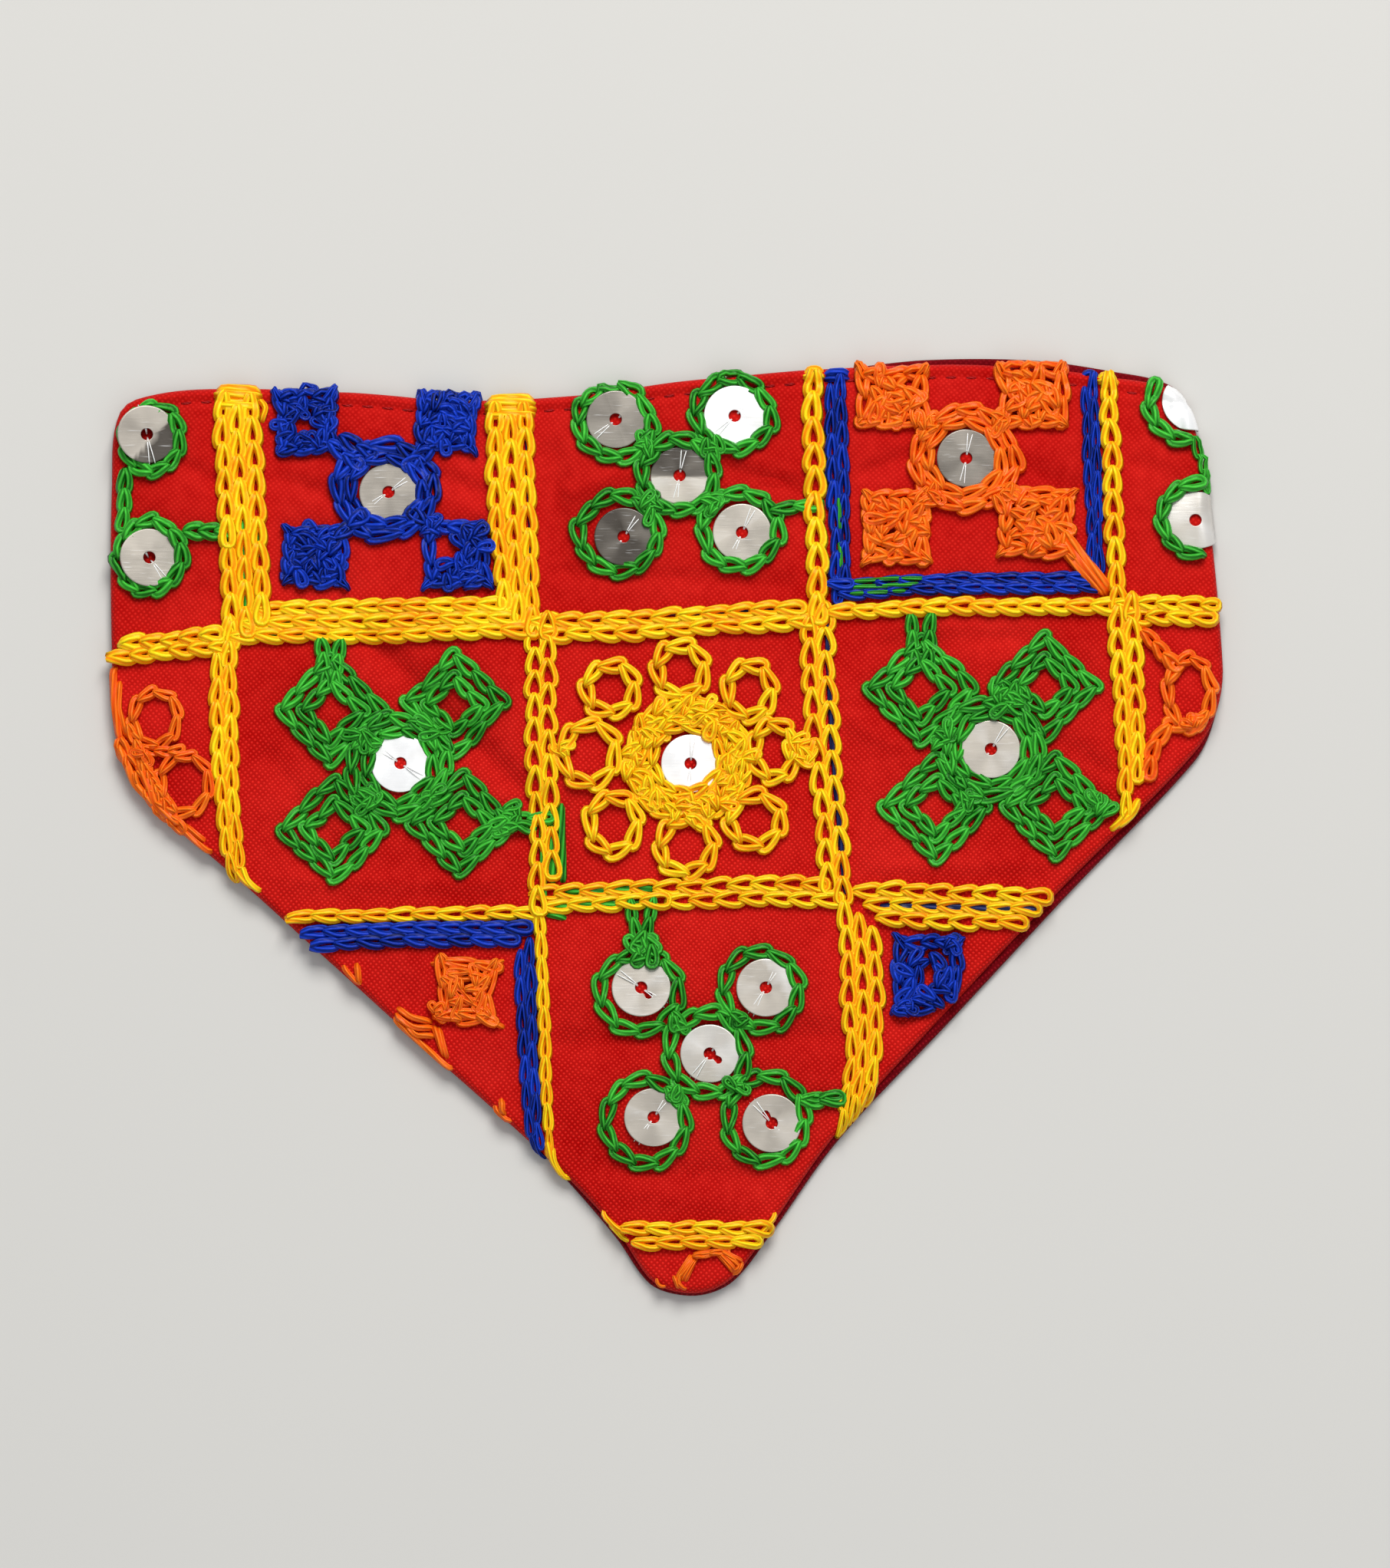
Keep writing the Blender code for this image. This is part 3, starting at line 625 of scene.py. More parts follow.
@dataclass(frozen=True)
class FloorFinish:
    """Plain pale floor."""

    colour: Colour = (0.61, 0.60, 0.575)

    def material(self) -> Material:
        """Build the finish: one pale colour, with the least cloud in it."""
        graph = Graph("pale_floor")
        cloud = graph.noise(graph.add("TexCoord", {})["Object"], 6.0)
        lighter = tuple(min(1.0, part * 1.04) for part in self.colour)
        graph.feed(graph.shader, {
            "Base Color": graph.blend(cloud, self.colour, lighter), "Roughness": 0.9,
            "Specular IOR Level": 0.1})
        return graph.material


# Each thread's first colour is painted shade in its ply grooves, shared with its darker fibres; yellow's
# is orange, like its shade
FINISHES = {
    Thread.YELLOW: ThreadFinish(
        "yellow_rayon", (0.93, 0.225, 0.001), (1.0, 0.76, 0.010), 0.85, gloss=0.20),
    Thread.GREEN: ThreadFinish(
        "green_rayon", (0.001, 0.060, 0.002), (0.062, 0.55, 0.046), 0.86, gloss=0.22),
    Thread.BLUE: ThreadFinish(
        "blue_rayon", (0.0003, 0.0012, 0.018), (0.010, 0.052, 0.58), 0.90, gloss=0.20),
    Thread.ORANGE: ThreadFinish("orange_rayon", (0.80, 0.065, 0.001), (1.0, 0.21, 0.008), 0.90),
}
# The blue thread again, made darker: painted shade for where it is carried under the bands
SHADED_BLUE = ThreadFinish("blue_rayon_painted_shade", (0.0006, 0.003, 0.020), (0.010, 0.022, 0.120))
SEWING = ThreadFinish("red_sewing_thread", (0.27, 0.001, 0.002), (0.52, 0.010, 0.010), twist=0.8)
RED = ClothFinish("red_weave", (0.34, 0.0008, 0.0012), (0.86, 0.030, 0.021))
MAROON = ClothFinish("maroon_weave", (0.10, 0.0010, 0.0030), (0.29, 0.008, 0.014))


@dataclass
class Links:
    """Chain stitches, one row of each array for each: two ends, outer width, extra height."""

    base: Array
    tip: Array
    width: Array
    rise: Array

    @staticmethod
    def joined(runs: list["Links"]) -> "Links":
        """Return several runs as one."""
        names = ("base", "tip", "width", "rise")
        return Links(*(np.concatenate([getattr(run, name) for run in runs]) for name in names))

    @staticmethod
    def along(nodes: Array, width: Array | float, rise: float, wild: float, rng: Rng,
              closed: bool = False) -> "Links":
        """Work a chain through the nodes.

        Args:
            nodes: (n + 1, 2) where the needle goes in, or (n, 2) of a closed chain.
            width: the usual outer width, one for all or one for each stitch.
            rise: extra height over the cloth.
            wild: how far a node may stray, as a standard deviation.
            rng: the random numbers.
            closed: whether the last stitch ends in the first.

        Returns:
            The stitches.
        """
        strayed = nodes + rng.normal(0.0, wild, nodes.shape)
        ends = np.roll(strayed, -1, axis=0)
        if not closed:
            strayed, ends = strayed[:-1], ends[:-1]
        count = len(strayed)
        widths = width * (1.0 + UNEVEN_WIDTH * rng.uniform(-1.0, 1.0, count))
        rises = rise + UNEVEN_RISE * rng.uniform(0.0, 1.0, count)
        return Links(strayed, ends, widths, rises)

    @staticmethod
    def about(middle: Array, turn: Array, reach: float, width: Array, rise: Array) -> "Links":
        """Return short stitches that lie both ways from their middles."""
        half = ways_at(turn) * reach
        return Links(middle - half, middle + half, width, rise)

    def middles(self) -> Array:
        """Return the middles of the stitches."""
        return (self.base + self.tip) / 2.0

    def lift_over(self, under: Array, reach: float = 1.4, lift: float = 0.5) -> None:
        """Raise each stitch that crosses one of the places.

        Args:
            under: (n, 2) middles of what was worked before.
            reach: how near counts as crossing.
            lift: how much a crossing stitch rises.
        """
        apart = np.linalg.norm(self.middles()[:, None] - under[None], axis=2).min(axis=1)
        self.rise = self.rise + lift * ease(2.0 * (1.0 - apart / reach))


@dataclass
class Band:
    """Straight rows of chain side by side, each half a stitch on from its neighbour.

    A station is a place along the band and its two sides there. The slants say how much further
    along each next row starts and ends, as rows do where two bands meet in a corner.
    """

    rows: int
    pitch: float
    upright: bool
    stations: tuple[Row, ...]
    spread: float = 1.35
    slants: tuple[float, float] = (0.0, 0.0)
    wild: float = 0.09

    def links(self, rng: Rng) -> Links:
        """Work each row over the band's whole length.

        The rows are even steps apart, and a stitch is spread times as wide as a step. All rows
        keep the same pitch and each is half a stitch out of step with its neighbour. Upright
        bands are worked downwards, and rows that lie across from left to right.

        Args:
            rng: the random numbers.

        Returns:
            The stitches of all the rows.
        """
        table = np.array(self.stations, float)
        along, low, high = table[np.argsort(table[:, 0])].T
        ends = (along[-1], along[0]) if self.upright else (along[0], along[-1])
        steps_across = self.rows - 1 + self.spread
        step = (ends[1] - ends[0]) / max(1, round(abs(ends[1] - ends[0]) / self.pitch))
        runs = []
        for row in range(self.rows):
            late = 0.5 * (row % 2)
            first, last = (math.floor((place + row * slant - ends[0]) / step + late + 0.25)
                           for place, slant in zip(ends, self.slants))
            steps = ends[0] + step * (np.arange(first, last + 1) - late)
            share = (row + self.spread / 2.0) / steps_across
            across = np.interp(steps, along, low + (high - low) * share)
            nodes = np.stack([across, steps] if self.upright else [steps, across], axis=1)
            wide = np.interp(steps[1:], along, high - low) / steps_across * self.spread
            runs.append(Links.along(nodes, wide, 0.0, self.wild, rng))
        return Links.joined(runs)


@dataclass
class Ring:
    """A closed ring of chain."""

    x: float
    y: float
    half_width: float
    half_height: float
    count: int
    width: float = 2.2
    rise: float = 0.0
    start: float = 20.0
    wild: float = 0.13

    def links(self, rng: Rng) -> Links:
        """Work the ring: nodes at even turns of an oval half a stitch's width in from outside."""
        turn = math.radians(self.start) - math.tau * np.arange(self.count) / self.count
        inside = self.width / 2.0
        reach = (self.half_width - inside, self.half_height - inside)
        nodes = np.array([self.x, self.y]) + reach * ways_at(turn)
        return Links.along(nodes, self.width, self.rise, self.wild, rng, closed=True)


@dataclass
class Square:
    """A square of chain, or several inside each other, and a stitch out at each corner."""

    x: float
    y: float
    half_width: float
    half_height: float
    turn: float = 0.0
    rounds: int = 1
    horn: float = 0.0
    pitch: float = 3.2
    width: float = 2.3
    rise: float = 0.0
    wild: float = 0.16
    step_in: float = 2.1
    inside: float = 0.42
    lap_rise: float = 0.10
    horn_out: float = 0.1
    horn_width: float = 1.5
    horn_rise: float = 0.25

    def side(self, start: Array, end: Array) -> Array:
        """Return the nodes of one side, without its far corner."""
        count = max(1, round(float(np.linalg.norm(end - start)) / self.pitch))
        return start + (end - start) * (np.arange(count) / count)[:, None]

    def links(self, rng: Rng) -> Links:
        """Work each round corner by corner from the outside in, then the stitches outwards."""
        angle = math.radians(self.turn)
        spin = np.array([[math.cos(angle), -math.sin(angle)], [math.sin(angle), math.cos(angle)]])
        signs = np.array([[-1.0, 1.0], [1.0, 1.0], [1.0, -1.0], [-1.0, -1.0]])
        whole = np.array([self.half_width, self.half_height])
        middle = np.array([self.x, self.y])
        runs = []
        for lap in range(self.rounds):
            reach = np.maximum(whole - (self.width * self.inside + self.step_in * lap), 0.5)
            corners = (signs * reach) @ spin.T + middle
            nodes = np.concatenate([self.side(corners[i], corners[(i + 1) % 4]) for i in range(4)])
            rise = self.rise + self.lap_rise * lap
            runs.append(Links.along(nodes, self.width, rise, self.wild, rng, closed=True))
        if self.horn:
            outer, inner = ((signs * whole + out * signs) @ spin.T + middle
                            for out in (self.horn_out, -self.horn))
            strayed = outer + rng.normal(0.0, self.wild, outer.shape)
            runs.append(Links(strayed, inner, np.full(4, self.horn_width),
                              np.full(4, self.rise + self.horn_rise)))
        return Links.joined(runs)


@dataclass
class Path:
    """A chain through listed points."""

    points: tuple[Row, ...]
    pitch: float = 3.2
    width: float = 2.1
    rise: float = 0.0
    wild: float = 0.10

    def links(self, rng: Rng) -> Links:
        """Work the chain at even steps along the path's straight stretches."""
        path = np.array(self.points, float)
        run = run_of(path)
        steps = np.linspace(0.0, run[-1], max(1, round(run[-1] / self.pitch)) + 1)
        return Links.along(read_at(steps, run, path), self.width, self.rise, self.wild, rng)


@dataclass
class Knot:
    """A few short stitches worked over each other."""

    x: float
    y: float
    reach: float = 1.5
    count: int = 6
    width: float = 1.8
    rise: float = 0.35
    heap: float = 0.36
    stray: float = 0.35
    half: float = 0.7

    def links(self, rng: Rng) -> Links:
        """Work short stitches at random turns about one place, each a little higher."""
        turn = rng.uniform(0.0, math.tau, self.count)
        middle = (self.x, self.y) + rng.normal(0.0, self.reach * self.stray, (self.count, 2))
        wide = np.full(self.count, self.width)
        rise = self.rise + np.linspace(0.0, self.heap, self.count)
        return Links.about(middle, turn, self.reach * self.half, wide, rise)


@dataclass
class Loops:
    """A patch between two ovals, packed with short curled loops in no order."""

    x: float
    y: float
    inner: float
    outer: float
    count: int
    length: float = 2.3
    width: float = 2.0
    rise: float = 0.1
    uneven: float = 0.15
    heap: float = 0.5

    def links(self, rng: Rng) -> Links:
        """Spread the loops evenly over the patch and turn each one at random.

        The nth loop stands at n golden angles, and its distance squared grows evenly with n.

        Args:
            rng: the random numbers.

        Returns:
            The loops.
        """
        order = np.arange(self.count)
        share = (order + 0.5) / self.count
        reach = np.sqrt(self.inner ** 2 + share * (self.outer ** 2 - self.inner ** 2))
        ways = ways_at(order * math.pi * (3.0 - math.sqrt(5.0)))
        lie = rng.uniform(0.0, math.tau, self.count)
        wide = self.width * rng.uniform(1.0 - self.uneven, 1.0 + self.uneven, self.count)
        rise = self.rise + rng.uniform(0.0, self.heap, self.count)
        middle = (self.x, self.y) + reach[:, None] * ways
        return Links.about(middle, lie, self.length / 2.0, wide, rise)


@dataclass
class Strand:
    """A single thread laid through a few points, with its ends taken down into the cloth."""

    points: tuple[Row, ...]
    thickness: float = 0.8
    height: float = 0.3
    sink: float = 0.9


@dataclass
class Motif:
    """All the chain and strands that stand for one solid."""

    node: str
    plump: float
    work: tuple[object, ...]

    def strands(self) -> list[Strand]:
        """Return the single threads."""
        return [part for part in self.work if isinstance(part, Strand)]

    def links(self, shape: ClothShape, rng: Rng) -> Links:
        """Work every chain, and leave out the stitches that the seam swallows.

        Args:
            shape: the cloth.
            rng: the random numbers.

        Returns:
            The stitches that don't reach past the rolled edge.
        """
        chains = [part for part in self.work if not isinstance(part, Strand)]
        made = Links.joined([chain.links(rng) for chain in chains])
        gaps = np.minimum(shape.nearest_edge(made.base)[0], shape.nearest_edge(made.tip)[0])
        keep = gaps > -PAST_EDGE
        return Links(made.base[keep], made.tip[keep], made.width[keep], made.rise[keep])


@dataclass
class Stitcher:
    """Turns chain stitches and strands into thread that lies on the cloth."""

    shape: ClothShape
    steps: int = 18
    sides: int = 6
    overlap: float = 0.72
    crossing: float = 0.62
    crossing_spread: float = 0.55
    hidden: float = 1.35
    hidden_spread: float = 0.36
    bluntness: float = 0.7
    lean: float = 0.07
    arch: float = 0.10
    lies_at: float = 0.42
    widest_thread: float = 0.46
    taper: float = 0.18
    taper_spread: float = 0.9
    strand_steps: int = 9
    strand_step: float = 0.6
    sink_spread: float = 0.45
    clear: float = 0.05

    def tube(self, middles: Array, radius: Array, tone: Array, closed: bool) -> MeshData:
        """Carry a ring of points along each middle line.

        Args:
            middles: (n, steps, 3) points of the middle lines.
            radius: (n, steps) of the thread.
            tone: (n) how light each one is.
            closed: whether each line ends where it starts.

        Returns:
            The tubes, with flat ends where the lines are open.
        """
        count, steps = middles.shape[:2]
        ahead, behind = np.roll(middles, -1, axis=1), np.roll(middles, 1, axis=1)
        if not closed:
            ahead[:, -1], behind[:, 0] = middles[:, -1], middles[:, 0]
        along = unit(ahead - behind)
        side = unit(np.cross(along, (0.0, 0.0, 1.0)))
        over = np.cross(side, along)
        turn = (math.tau * np.arange(self.sides) / self.sides)[:, None]
        ring = np.cos(turn) * side[:, :, None] + np.sin(turn) * over[:, :, None]
        points = middles[:, :, None] + radius[:, :, None, None] * ring
        stretch = np.linalg.norm(ahead - middles, axis=2)
        run = np.cumsum(stretch, axis=1) - stretch
        start = np.arange(count)[:, None] * steps * self.sides
        quads = start[..., None, None] + ring_faces(steps, self.sides, closed)
        spans = quads.shape[1]
        low = np.broadcast_to(run[:, :spans, None], quads.shape[:-1]) / CENTIMETRE
        high = low + stretch[:, :spans, None] / CENTIMETRE
        near = np.broadcast_to(np.arange(self.sides) / self.sides, quads.shape[:-1])
        far = near + 1.0 / self.sides
        corners = ((low, near), (high, near), (high, far), (low, far))
        uv = np.stack([np.stack(corner, -1) for corner in corners], axis=-2)
        quads, uv = quads.reshape(-1, 4), uv.reshape(-1, 4, 2)
        if not closed:
            cap = np.array([[0, 1, 2, 3], [0, 3, 4, 5]])
            last = (steps - 1) * self.sides + cap[:, ::-1]
            caps = (start + np.concatenate([cap, last]).reshape(1, -1)).reshape(-1, 4)
            quads = np.concatenate([quads, caps])
            uv = np.concatenate([uv, np.zeros((len(caps), 4, 2))])
        return MeshData(points.reshape(-1, 3), quads, uv, np.repeat(tone, steps * self.sides))

    def chain(self, links: Links, thickness: float, rng: Rng) -> MeshData:
        """Shape each stitch as a loop of thread.

        In plan the loop is a drop: with a half turn it goes along by the square of the sine,
        and across by that times a low power of the cosine. So it starts in a point and ends
        round. From below the cloth it climbs over the round end before it and comes down again.

        Args:
            links: the stitches.
            thickness: of the thread. A narrow stitch has a finer one.
            rng: the random numbers.

        Returns:
            One closed tube a stitch.
        """
        turn = math.pi * (np.arange(self.steps) + 0.5) / self.steps
        share = np.sin(turn) ** 2
        arch = np.sin(math.pi * share)[None]
        drop = share * np.sign(np.cos(turn)) * np.abs(np.cos(turn)) ** self.bluntness
        drop = drop / np.abs(drop).max()
        reach = links.tip - links.base
        length = np.linalg.norm(reach, axis=1) + self.overlap
        along = unit(reach)
        thread = np.minimum(thickness, links.width * self.widest_thread)[:, None]
        half = (links.width[:, None] - thread) / 2.0
        lean = rng.normal(0.0, self.lean, len(length))[:, None]
        sideways = drop[None] * half + lean * arch
        run = share[None] * length[:, None]
        places = (links.base[:, None] + along[:, None] * run[..., None]
                  - right_of(along)[:, None] * sideways[..., None])
        height = (self.lies_at * thread + links.rise[:, None]
                  + self.crossing * bell((run - self.overlap) / self.crossing_spread)
                  - self.hidden * bell(run / self.hidden_spread) + self.arch * arch)
        middles = self.shape.drape(places.reshape(-1, 2), height.reshape(-1)).reshape(*run.shape, 3)
        middles[..., 2] = np.maximum(middles[..., 2], thread / 2.0 + self.clear)
        radius = thread / 2.0 * (1.0 - self.taper * bell(run / self.taper_spread))
        return self.tube(middles, radius, rng.uniform(0.0, 1.0, len(length)), closed=True)

    def strands(self, strands: list[Strand], rng: Rng) -> list[MeshData]:
        """Lay each strand along the line through its points.

        The corners are softened by one round of weights one, two, one, and the height falls at
        both ends.

        Args:
            strands: the strands.
            rng: the random numbers.

        Returns:
            One tube a strand.
        """
        made = []
        for strand in strands:
            path = np.array(strand.points, float)
            run = run_of(path)
            count = max(self.strand_steps, int(run[-1] / self.strand_step))
            steps = np.linspace(0.0, run[-1], count)
            places = read_at(steps, run, path)
            places[1:-1] = (places[:-2] + 2.0 * places[1:-1] + places[2:]) / 4.0
            near_end = np.minimum(steps, run[-1] - steps)
            half = strand.thickness / 2.0
            height = strand.height - strand.sink * bell(near_end / self.sink_spread)
            middles = self.shape.drape(places, height)
            middles[:, 2] = np.maximum(middles[:, 2], half + self.clear)
            radius = np.full((1, count), half)
            made.append(self.tube(middles[None], radius, rng.uniform(0.0, 1.0, 1), closed=False))
        return made


@dataclass
class FrontCloth:
    """The stitched panel's cloth: a thin shell whose edge rolls down to the seam."""

    shape: ClothShape
    centre: tuple[float, float] = (3.2, 9.3)
    rings: int = 84
    inner_rings: int = 14
    roll_steps: int = 7
    roll_turn: float = 1.72
    closing: float = 0.82
    thickness: float = 0.45

    def build(self) -> Object:
        """Lay rings of places on the flat cloth, drape them, and line them underneath.

        The rings are scaled copies of the line where the edge starts to turn, closer together
        near it, and then copies of that line moved out over the turn. The lining has fewer.

        Returns:
            The shell.
        """
        inward = inward_of(self.shape.front)
        rim = self.shape.front + inward * self.shape.roll
        middle = np.array(self.centre)
        share = np.linspace(0.0, 1.0, self.rings + 1)[1:] ** self.closing
        flat = middle + share[:, None, None] * (rim - middle)[None]
        turns = np.linspace(0.0, self.roll_turn, self.roll_steps + 1)[1:]
        rolled = rim[None] - inward[None] * (turns * self.shape.roll)[:, None, None]
        picks = np.linspace(self.rings // self.inner_rings, self.rings - 1, self.inner_rings).astype(int)
        sides = (np.concatenate([flat, rolled]), np.concatenate([rolled[::-1], flat[picks][::-1]]))
        points = [self.shape.drape(side.reshape(-1, 2), out).reshape(*side.shape[:2], 3)
                  for side, out in zip(sides, (0.0, -self.thickness))]
        data = shell_from_rings(np.concatenate(points), np.concatenate(sides))
        return data.make("front_cloth", RED.material(), FLAT_UV)


@dataclass
class BackCloth:
    """The plain panel below: flat where it rests, turned up and hemmed inside its edge."""

    shape: ClothShape
    centre: tuple[float, float] = (0.0, 8.0)
    thickness: float = 0.32
    height: float = 1.1
    hem: float = 4.0
    rings: int = 30
    turned_points: int = 9
    flatness: int = 8
    creases: tuple[Row, ...] = (
        (-60, 30, -38, 12, 2.6, 0.22), (-44, 52, -20, 44, 2.2, 0.18), (-8, 30, 12, 14, 3, 0.24),
        (20, 52, 44, 47, 2.4, 0.16), (36, 24, 58, 10, 2.6, 0.2), (-34, -2, -12, -18, 2.4, 0.2),
        (4, -8, 26, -20, 2.8, 0.18), (-6, -36, 10, -44, 2.2, 0.16),
    )

    def section(self) -> list[tuple[float, float]]:
        """Return the turned edge's section: how far in from the edge, and the height.

        The outside is a half circle from the floor to the top, the hem runs in from there and
        ends, and the inside comes back round a smaller half circle.
        """
        half = self.height / 2.0
        turn = np.linspace(-math.pi / 2.0, math.pi / 2.0, self.turned_points)
        outside, inside = ([(half - size * math.cos(t), half + size * math.sin(t)) for t in turns]
                           for size, turns in ((half, turn[1:]), (half - self.thickness, turn[::-1])))
        top = self.height - self.thickness
        return outside + [(self.hem * 0.5, self.height), (self.hem, self.height),
                          (self.hem, top), (self.hem * 0.5, top)] + inside

    def build(self) -> Object:
        """Join the flat underside, the turned edge and the inside into one shell."""
        edge = self.shape.back
        middle = np.array(self.centre)
        inward = (middle - edge) / np.linalg.norm(edge - middle, axis=1)[:, None]
        share = (np.linspace(0.0, 1.0, self.rings + 1)[1:])[:, None, None]
        under = middle + share * (edge + inward * (self.height / 2.0) - middle)[None]
        raised = ridges(under.reshape(-1, 2), self.creases).reshape(under.shape[:2])
        raised = raised * (1.0 - share[..., 0] ** self.flatness)
        bottom = np.concatenate([under, raised[..., None]], axis=2)
        turned = [np.insert(edge + inward * inside, 2, height, axis=1)
                  for inside, height in self.section()]
        inner = bottom[:-1:3][::-1] + np.array([0.0, 0.0, self.thickness])
        rings = np.concatenate([bottom, np.array(turned), inner])[:, ::-1]
        return shell_from_rings(rings, rings[..., :2]).make("back_cloth", MAROON.material(), FLAT_UV)


class Sequin(NamedTuple):
    """A sewn disc: its middle, two tones of painted reflection and the line between them, the turns
    of its thread and of a second small hole torn into the first one, and how it lies on its ring:
    raised by how much, and how steeply along X."""

    x: float
    y: float
    tone: float
    other: float
    split_turn: float
    split_at: float
    thread_turn: float
    radius: float = 4.0
    bent: bool = False
    second: float | None = None
    raised: float = 0.0
    slope: float = 0.0


# Each sequin's tones are painted reflection: how much light its foil throws back, from dark to pale
SEQUINS = (
    Sequin(9.4, 57.1, 1, 0.95, 30, 0.3, 40, 4.2), Sequin(-6.8, 56.6, 0.2, 0.25, 20, 0, 35),
    Sequin(1.9, 48.8, 0.03, 0.52, 268, 0.05, 75), Sequin(-5.7, 40.3, 0.02, 0.05, 40, 0.2, 50),
    Sequin(10.4, 40.9, 0.44, 0.5, 120, 0.1, 60), Sequin(-37.7, 46.5, 0.3, 0.34, 150, 0.2, 30),
    Sequin(40.9, 51.2, 0.17, 0.21, 60, 0.3, 75),
    Sequin(-70.6, 54.4, 0.4, 0, 318, 0.24, 95, raised=0.9, slope=-0.16),
    Sequin(-70.2, 37.4, 0.39, 0.43, 100, 0.4, 120, raised=0.6, slope=-0.12),
    Sequin(44.2, 11, 0.5, 0.54, 0, 0.4, 50), Sequin(-36, 9, 1, 0.96, 90, 0.2, 140),
    Sequin(3.4, 9.1, 1, 0.94, 200, 0.4, 80), Sequin(13.6, -21.9, 0.5, 0.66, 35, 0.45, 55),
    Sequin(-3.3, -21.9, 0.52, 0.56, 300, 0.5, 140, second=313),
    Sequin(6, -30.9, 0.58, 0.66, 60, 0, 50, second=322), Sequin(-1.6, -39.7, 0.5, 0.42, 70, 0.1, 50),
    Sequin(14.4, -40.5, 0.5, 0.44, 110, 0.2, 125, second=123),
    Sequin(72.1, 42.7, 0.6, 0.66, 0, 0.1, 170, 4, True),
    Sequin(71.6, 59.2, 1, 0.72, 60, 0.35, 60, 4, True),
)


@dataclass
class SequinWork:
    """The sewn discs, and the clear thread that holds each one."""

    stitcher: Stitcher
    hole: float = 0.82
    second_hole: float = 0.52
    second_at: float = 1.45
    height: float = 0.20
    lift: float = 0.30
    around: int = 60
    thread: float = 0.15
    wedge: float = 0.04
    tilt: float = 0.02
    split_width: float = 0.08
    fan: float = 11.0
    thread_start: float = 0.3
    thread_past: float = 0.45
    thread_lift: float = 0.05
    thread_sink: float = 1.1
    profile: tuple[Row, ...] = (
        (0.0, 0.6), (0.012, 1.0), (0.03, 1.0), (0.30, 1.0), (0.62, 1.0), (0.94, 1.0), (0.975, 1.0),
        (1.0, 0.6), (0.975, 0.0), (0.50, 0.0), (0.012, 0.0))

    def disc(self, sequin: Sequin, rng: Rng) -> MeshData:
        """Turn the disc's section round its hole, and lay it on the cloth.

        Args:
            sequin: the disc.
            rng: the random numbers.

        Returns:
            A closed ring of thin section. Its tone, painted reflection, swings twice and five times
            round the hole, as brushed foil throws back light in sectors.
        """
        drape = self.stitcher.shape.drape
        turn = math.tau * np.arange(self.around) / self.around
        table = np.array(self.profile)
        inside = np.full(self.around, self.hole)
        if sequin.second is not None:
            off = turn - math.radians(sequin.second)
            chord = self.second_hole ** 2 - (self.second_at * np.sin(off)) ** 2
            beyond = self.second_at * np.cos(off) + np.sqrt(np.maximum(chord, 0.0))
            inside = np.where((chord > 0.0) & (np.cos(off) > 0.0), np.maximum(beyond, inside), inside)
        radius = inside + (sequin.radius - inside) * table[:, :1]
        local = radius[..., None] * ways_at(turn)[None]
        up = np.broadcast_to((table[:, 1] * self.height + self.lift)[:, None], local.shape[:2])
        places = local + np.array([sequin.x, sequin.y])
        if sequin.bent:
            points = drape(places.reshape(-1, 2), up.reshape(-1)).reshape(*up.shape, 3)
        else:
            tilt = rng.normal(0.0, self.tilt, 2) + np.array([sequin.slope, 0.0])
            rim = drape(places[7], 0.0)[:, 2].max()
            level = sequin.raised + 0.5 * (rim + drape(places[0], 0.0)[:, 2].mean())
            points = np.concatenate([places, (level + up + local @ tilt)[..., None]], axis=2)
        quads = ring_faces(len(table), self.around, True).reshape(-1, 4)
        flat = local.reshape(-1, 2) / CENTIMETRE
        split = math.radians(sequin.split_turn)
        past = local @ np.array([math.cos(split), math.sin(split)]) / sequin.radius - sequin.split_at
        tone = sequin.tone + (sequin.other - sequin.tone) * ease(past / self.split_width + 0.5)
        twice, five_times = (np.cos(times * turn + rng.uniform(0.0, 6.0)) for times in (2.0, 5.0))
        tone = np.clip(tone + self.wedge * (twice + 0.6 * five_times)[None], 0.0, 1.0)
        return MeshData(points.reshape(-1, 3), quads, flat[quads], tone.reshape(-1))

    def hold(self, sequin: Sequin) -> list[Strand]:
        """Return the clear strands that go out from the hole over the rim, two on each side."""
        turns = np.radians(sequin.thread_turn + np.array([0.0, self.fan, 180.0, 180.0 + self.fan]))
        middle = np.array([sequin.x, sequin.y])
        reaches = (self.thread_start * self.hole, sequin.radius + self.thread_past)
        ends = [middle + ways_at(turns) * reach for reach in reaches]
        high = self.lift + self.height + sequin.raised + self.thread_lift
        return [Strand(pair, self.thread, high, self.thread_sink) for pair in zip(*ends)]

    def build(self, rng: Rng) -> tuple[Object, Object]:
        """Make the discs one piece and their threads another."""
        discs = MeshData.joined([self.disc(sequin, rng) for sequin in SEQUINS])
        held = [strand for sequin in SEQUINS if not sequin.bent for strand in self.hold(sequin)]
        threads = MeshData.joined(self.stitcher.strands(held, rng))
        return (discs.make("sequins", SequinFinish().material(), THREAD_UV),
                threads.make("sequin_threads", ClearThreadFinish().material(), THREAD_UV))


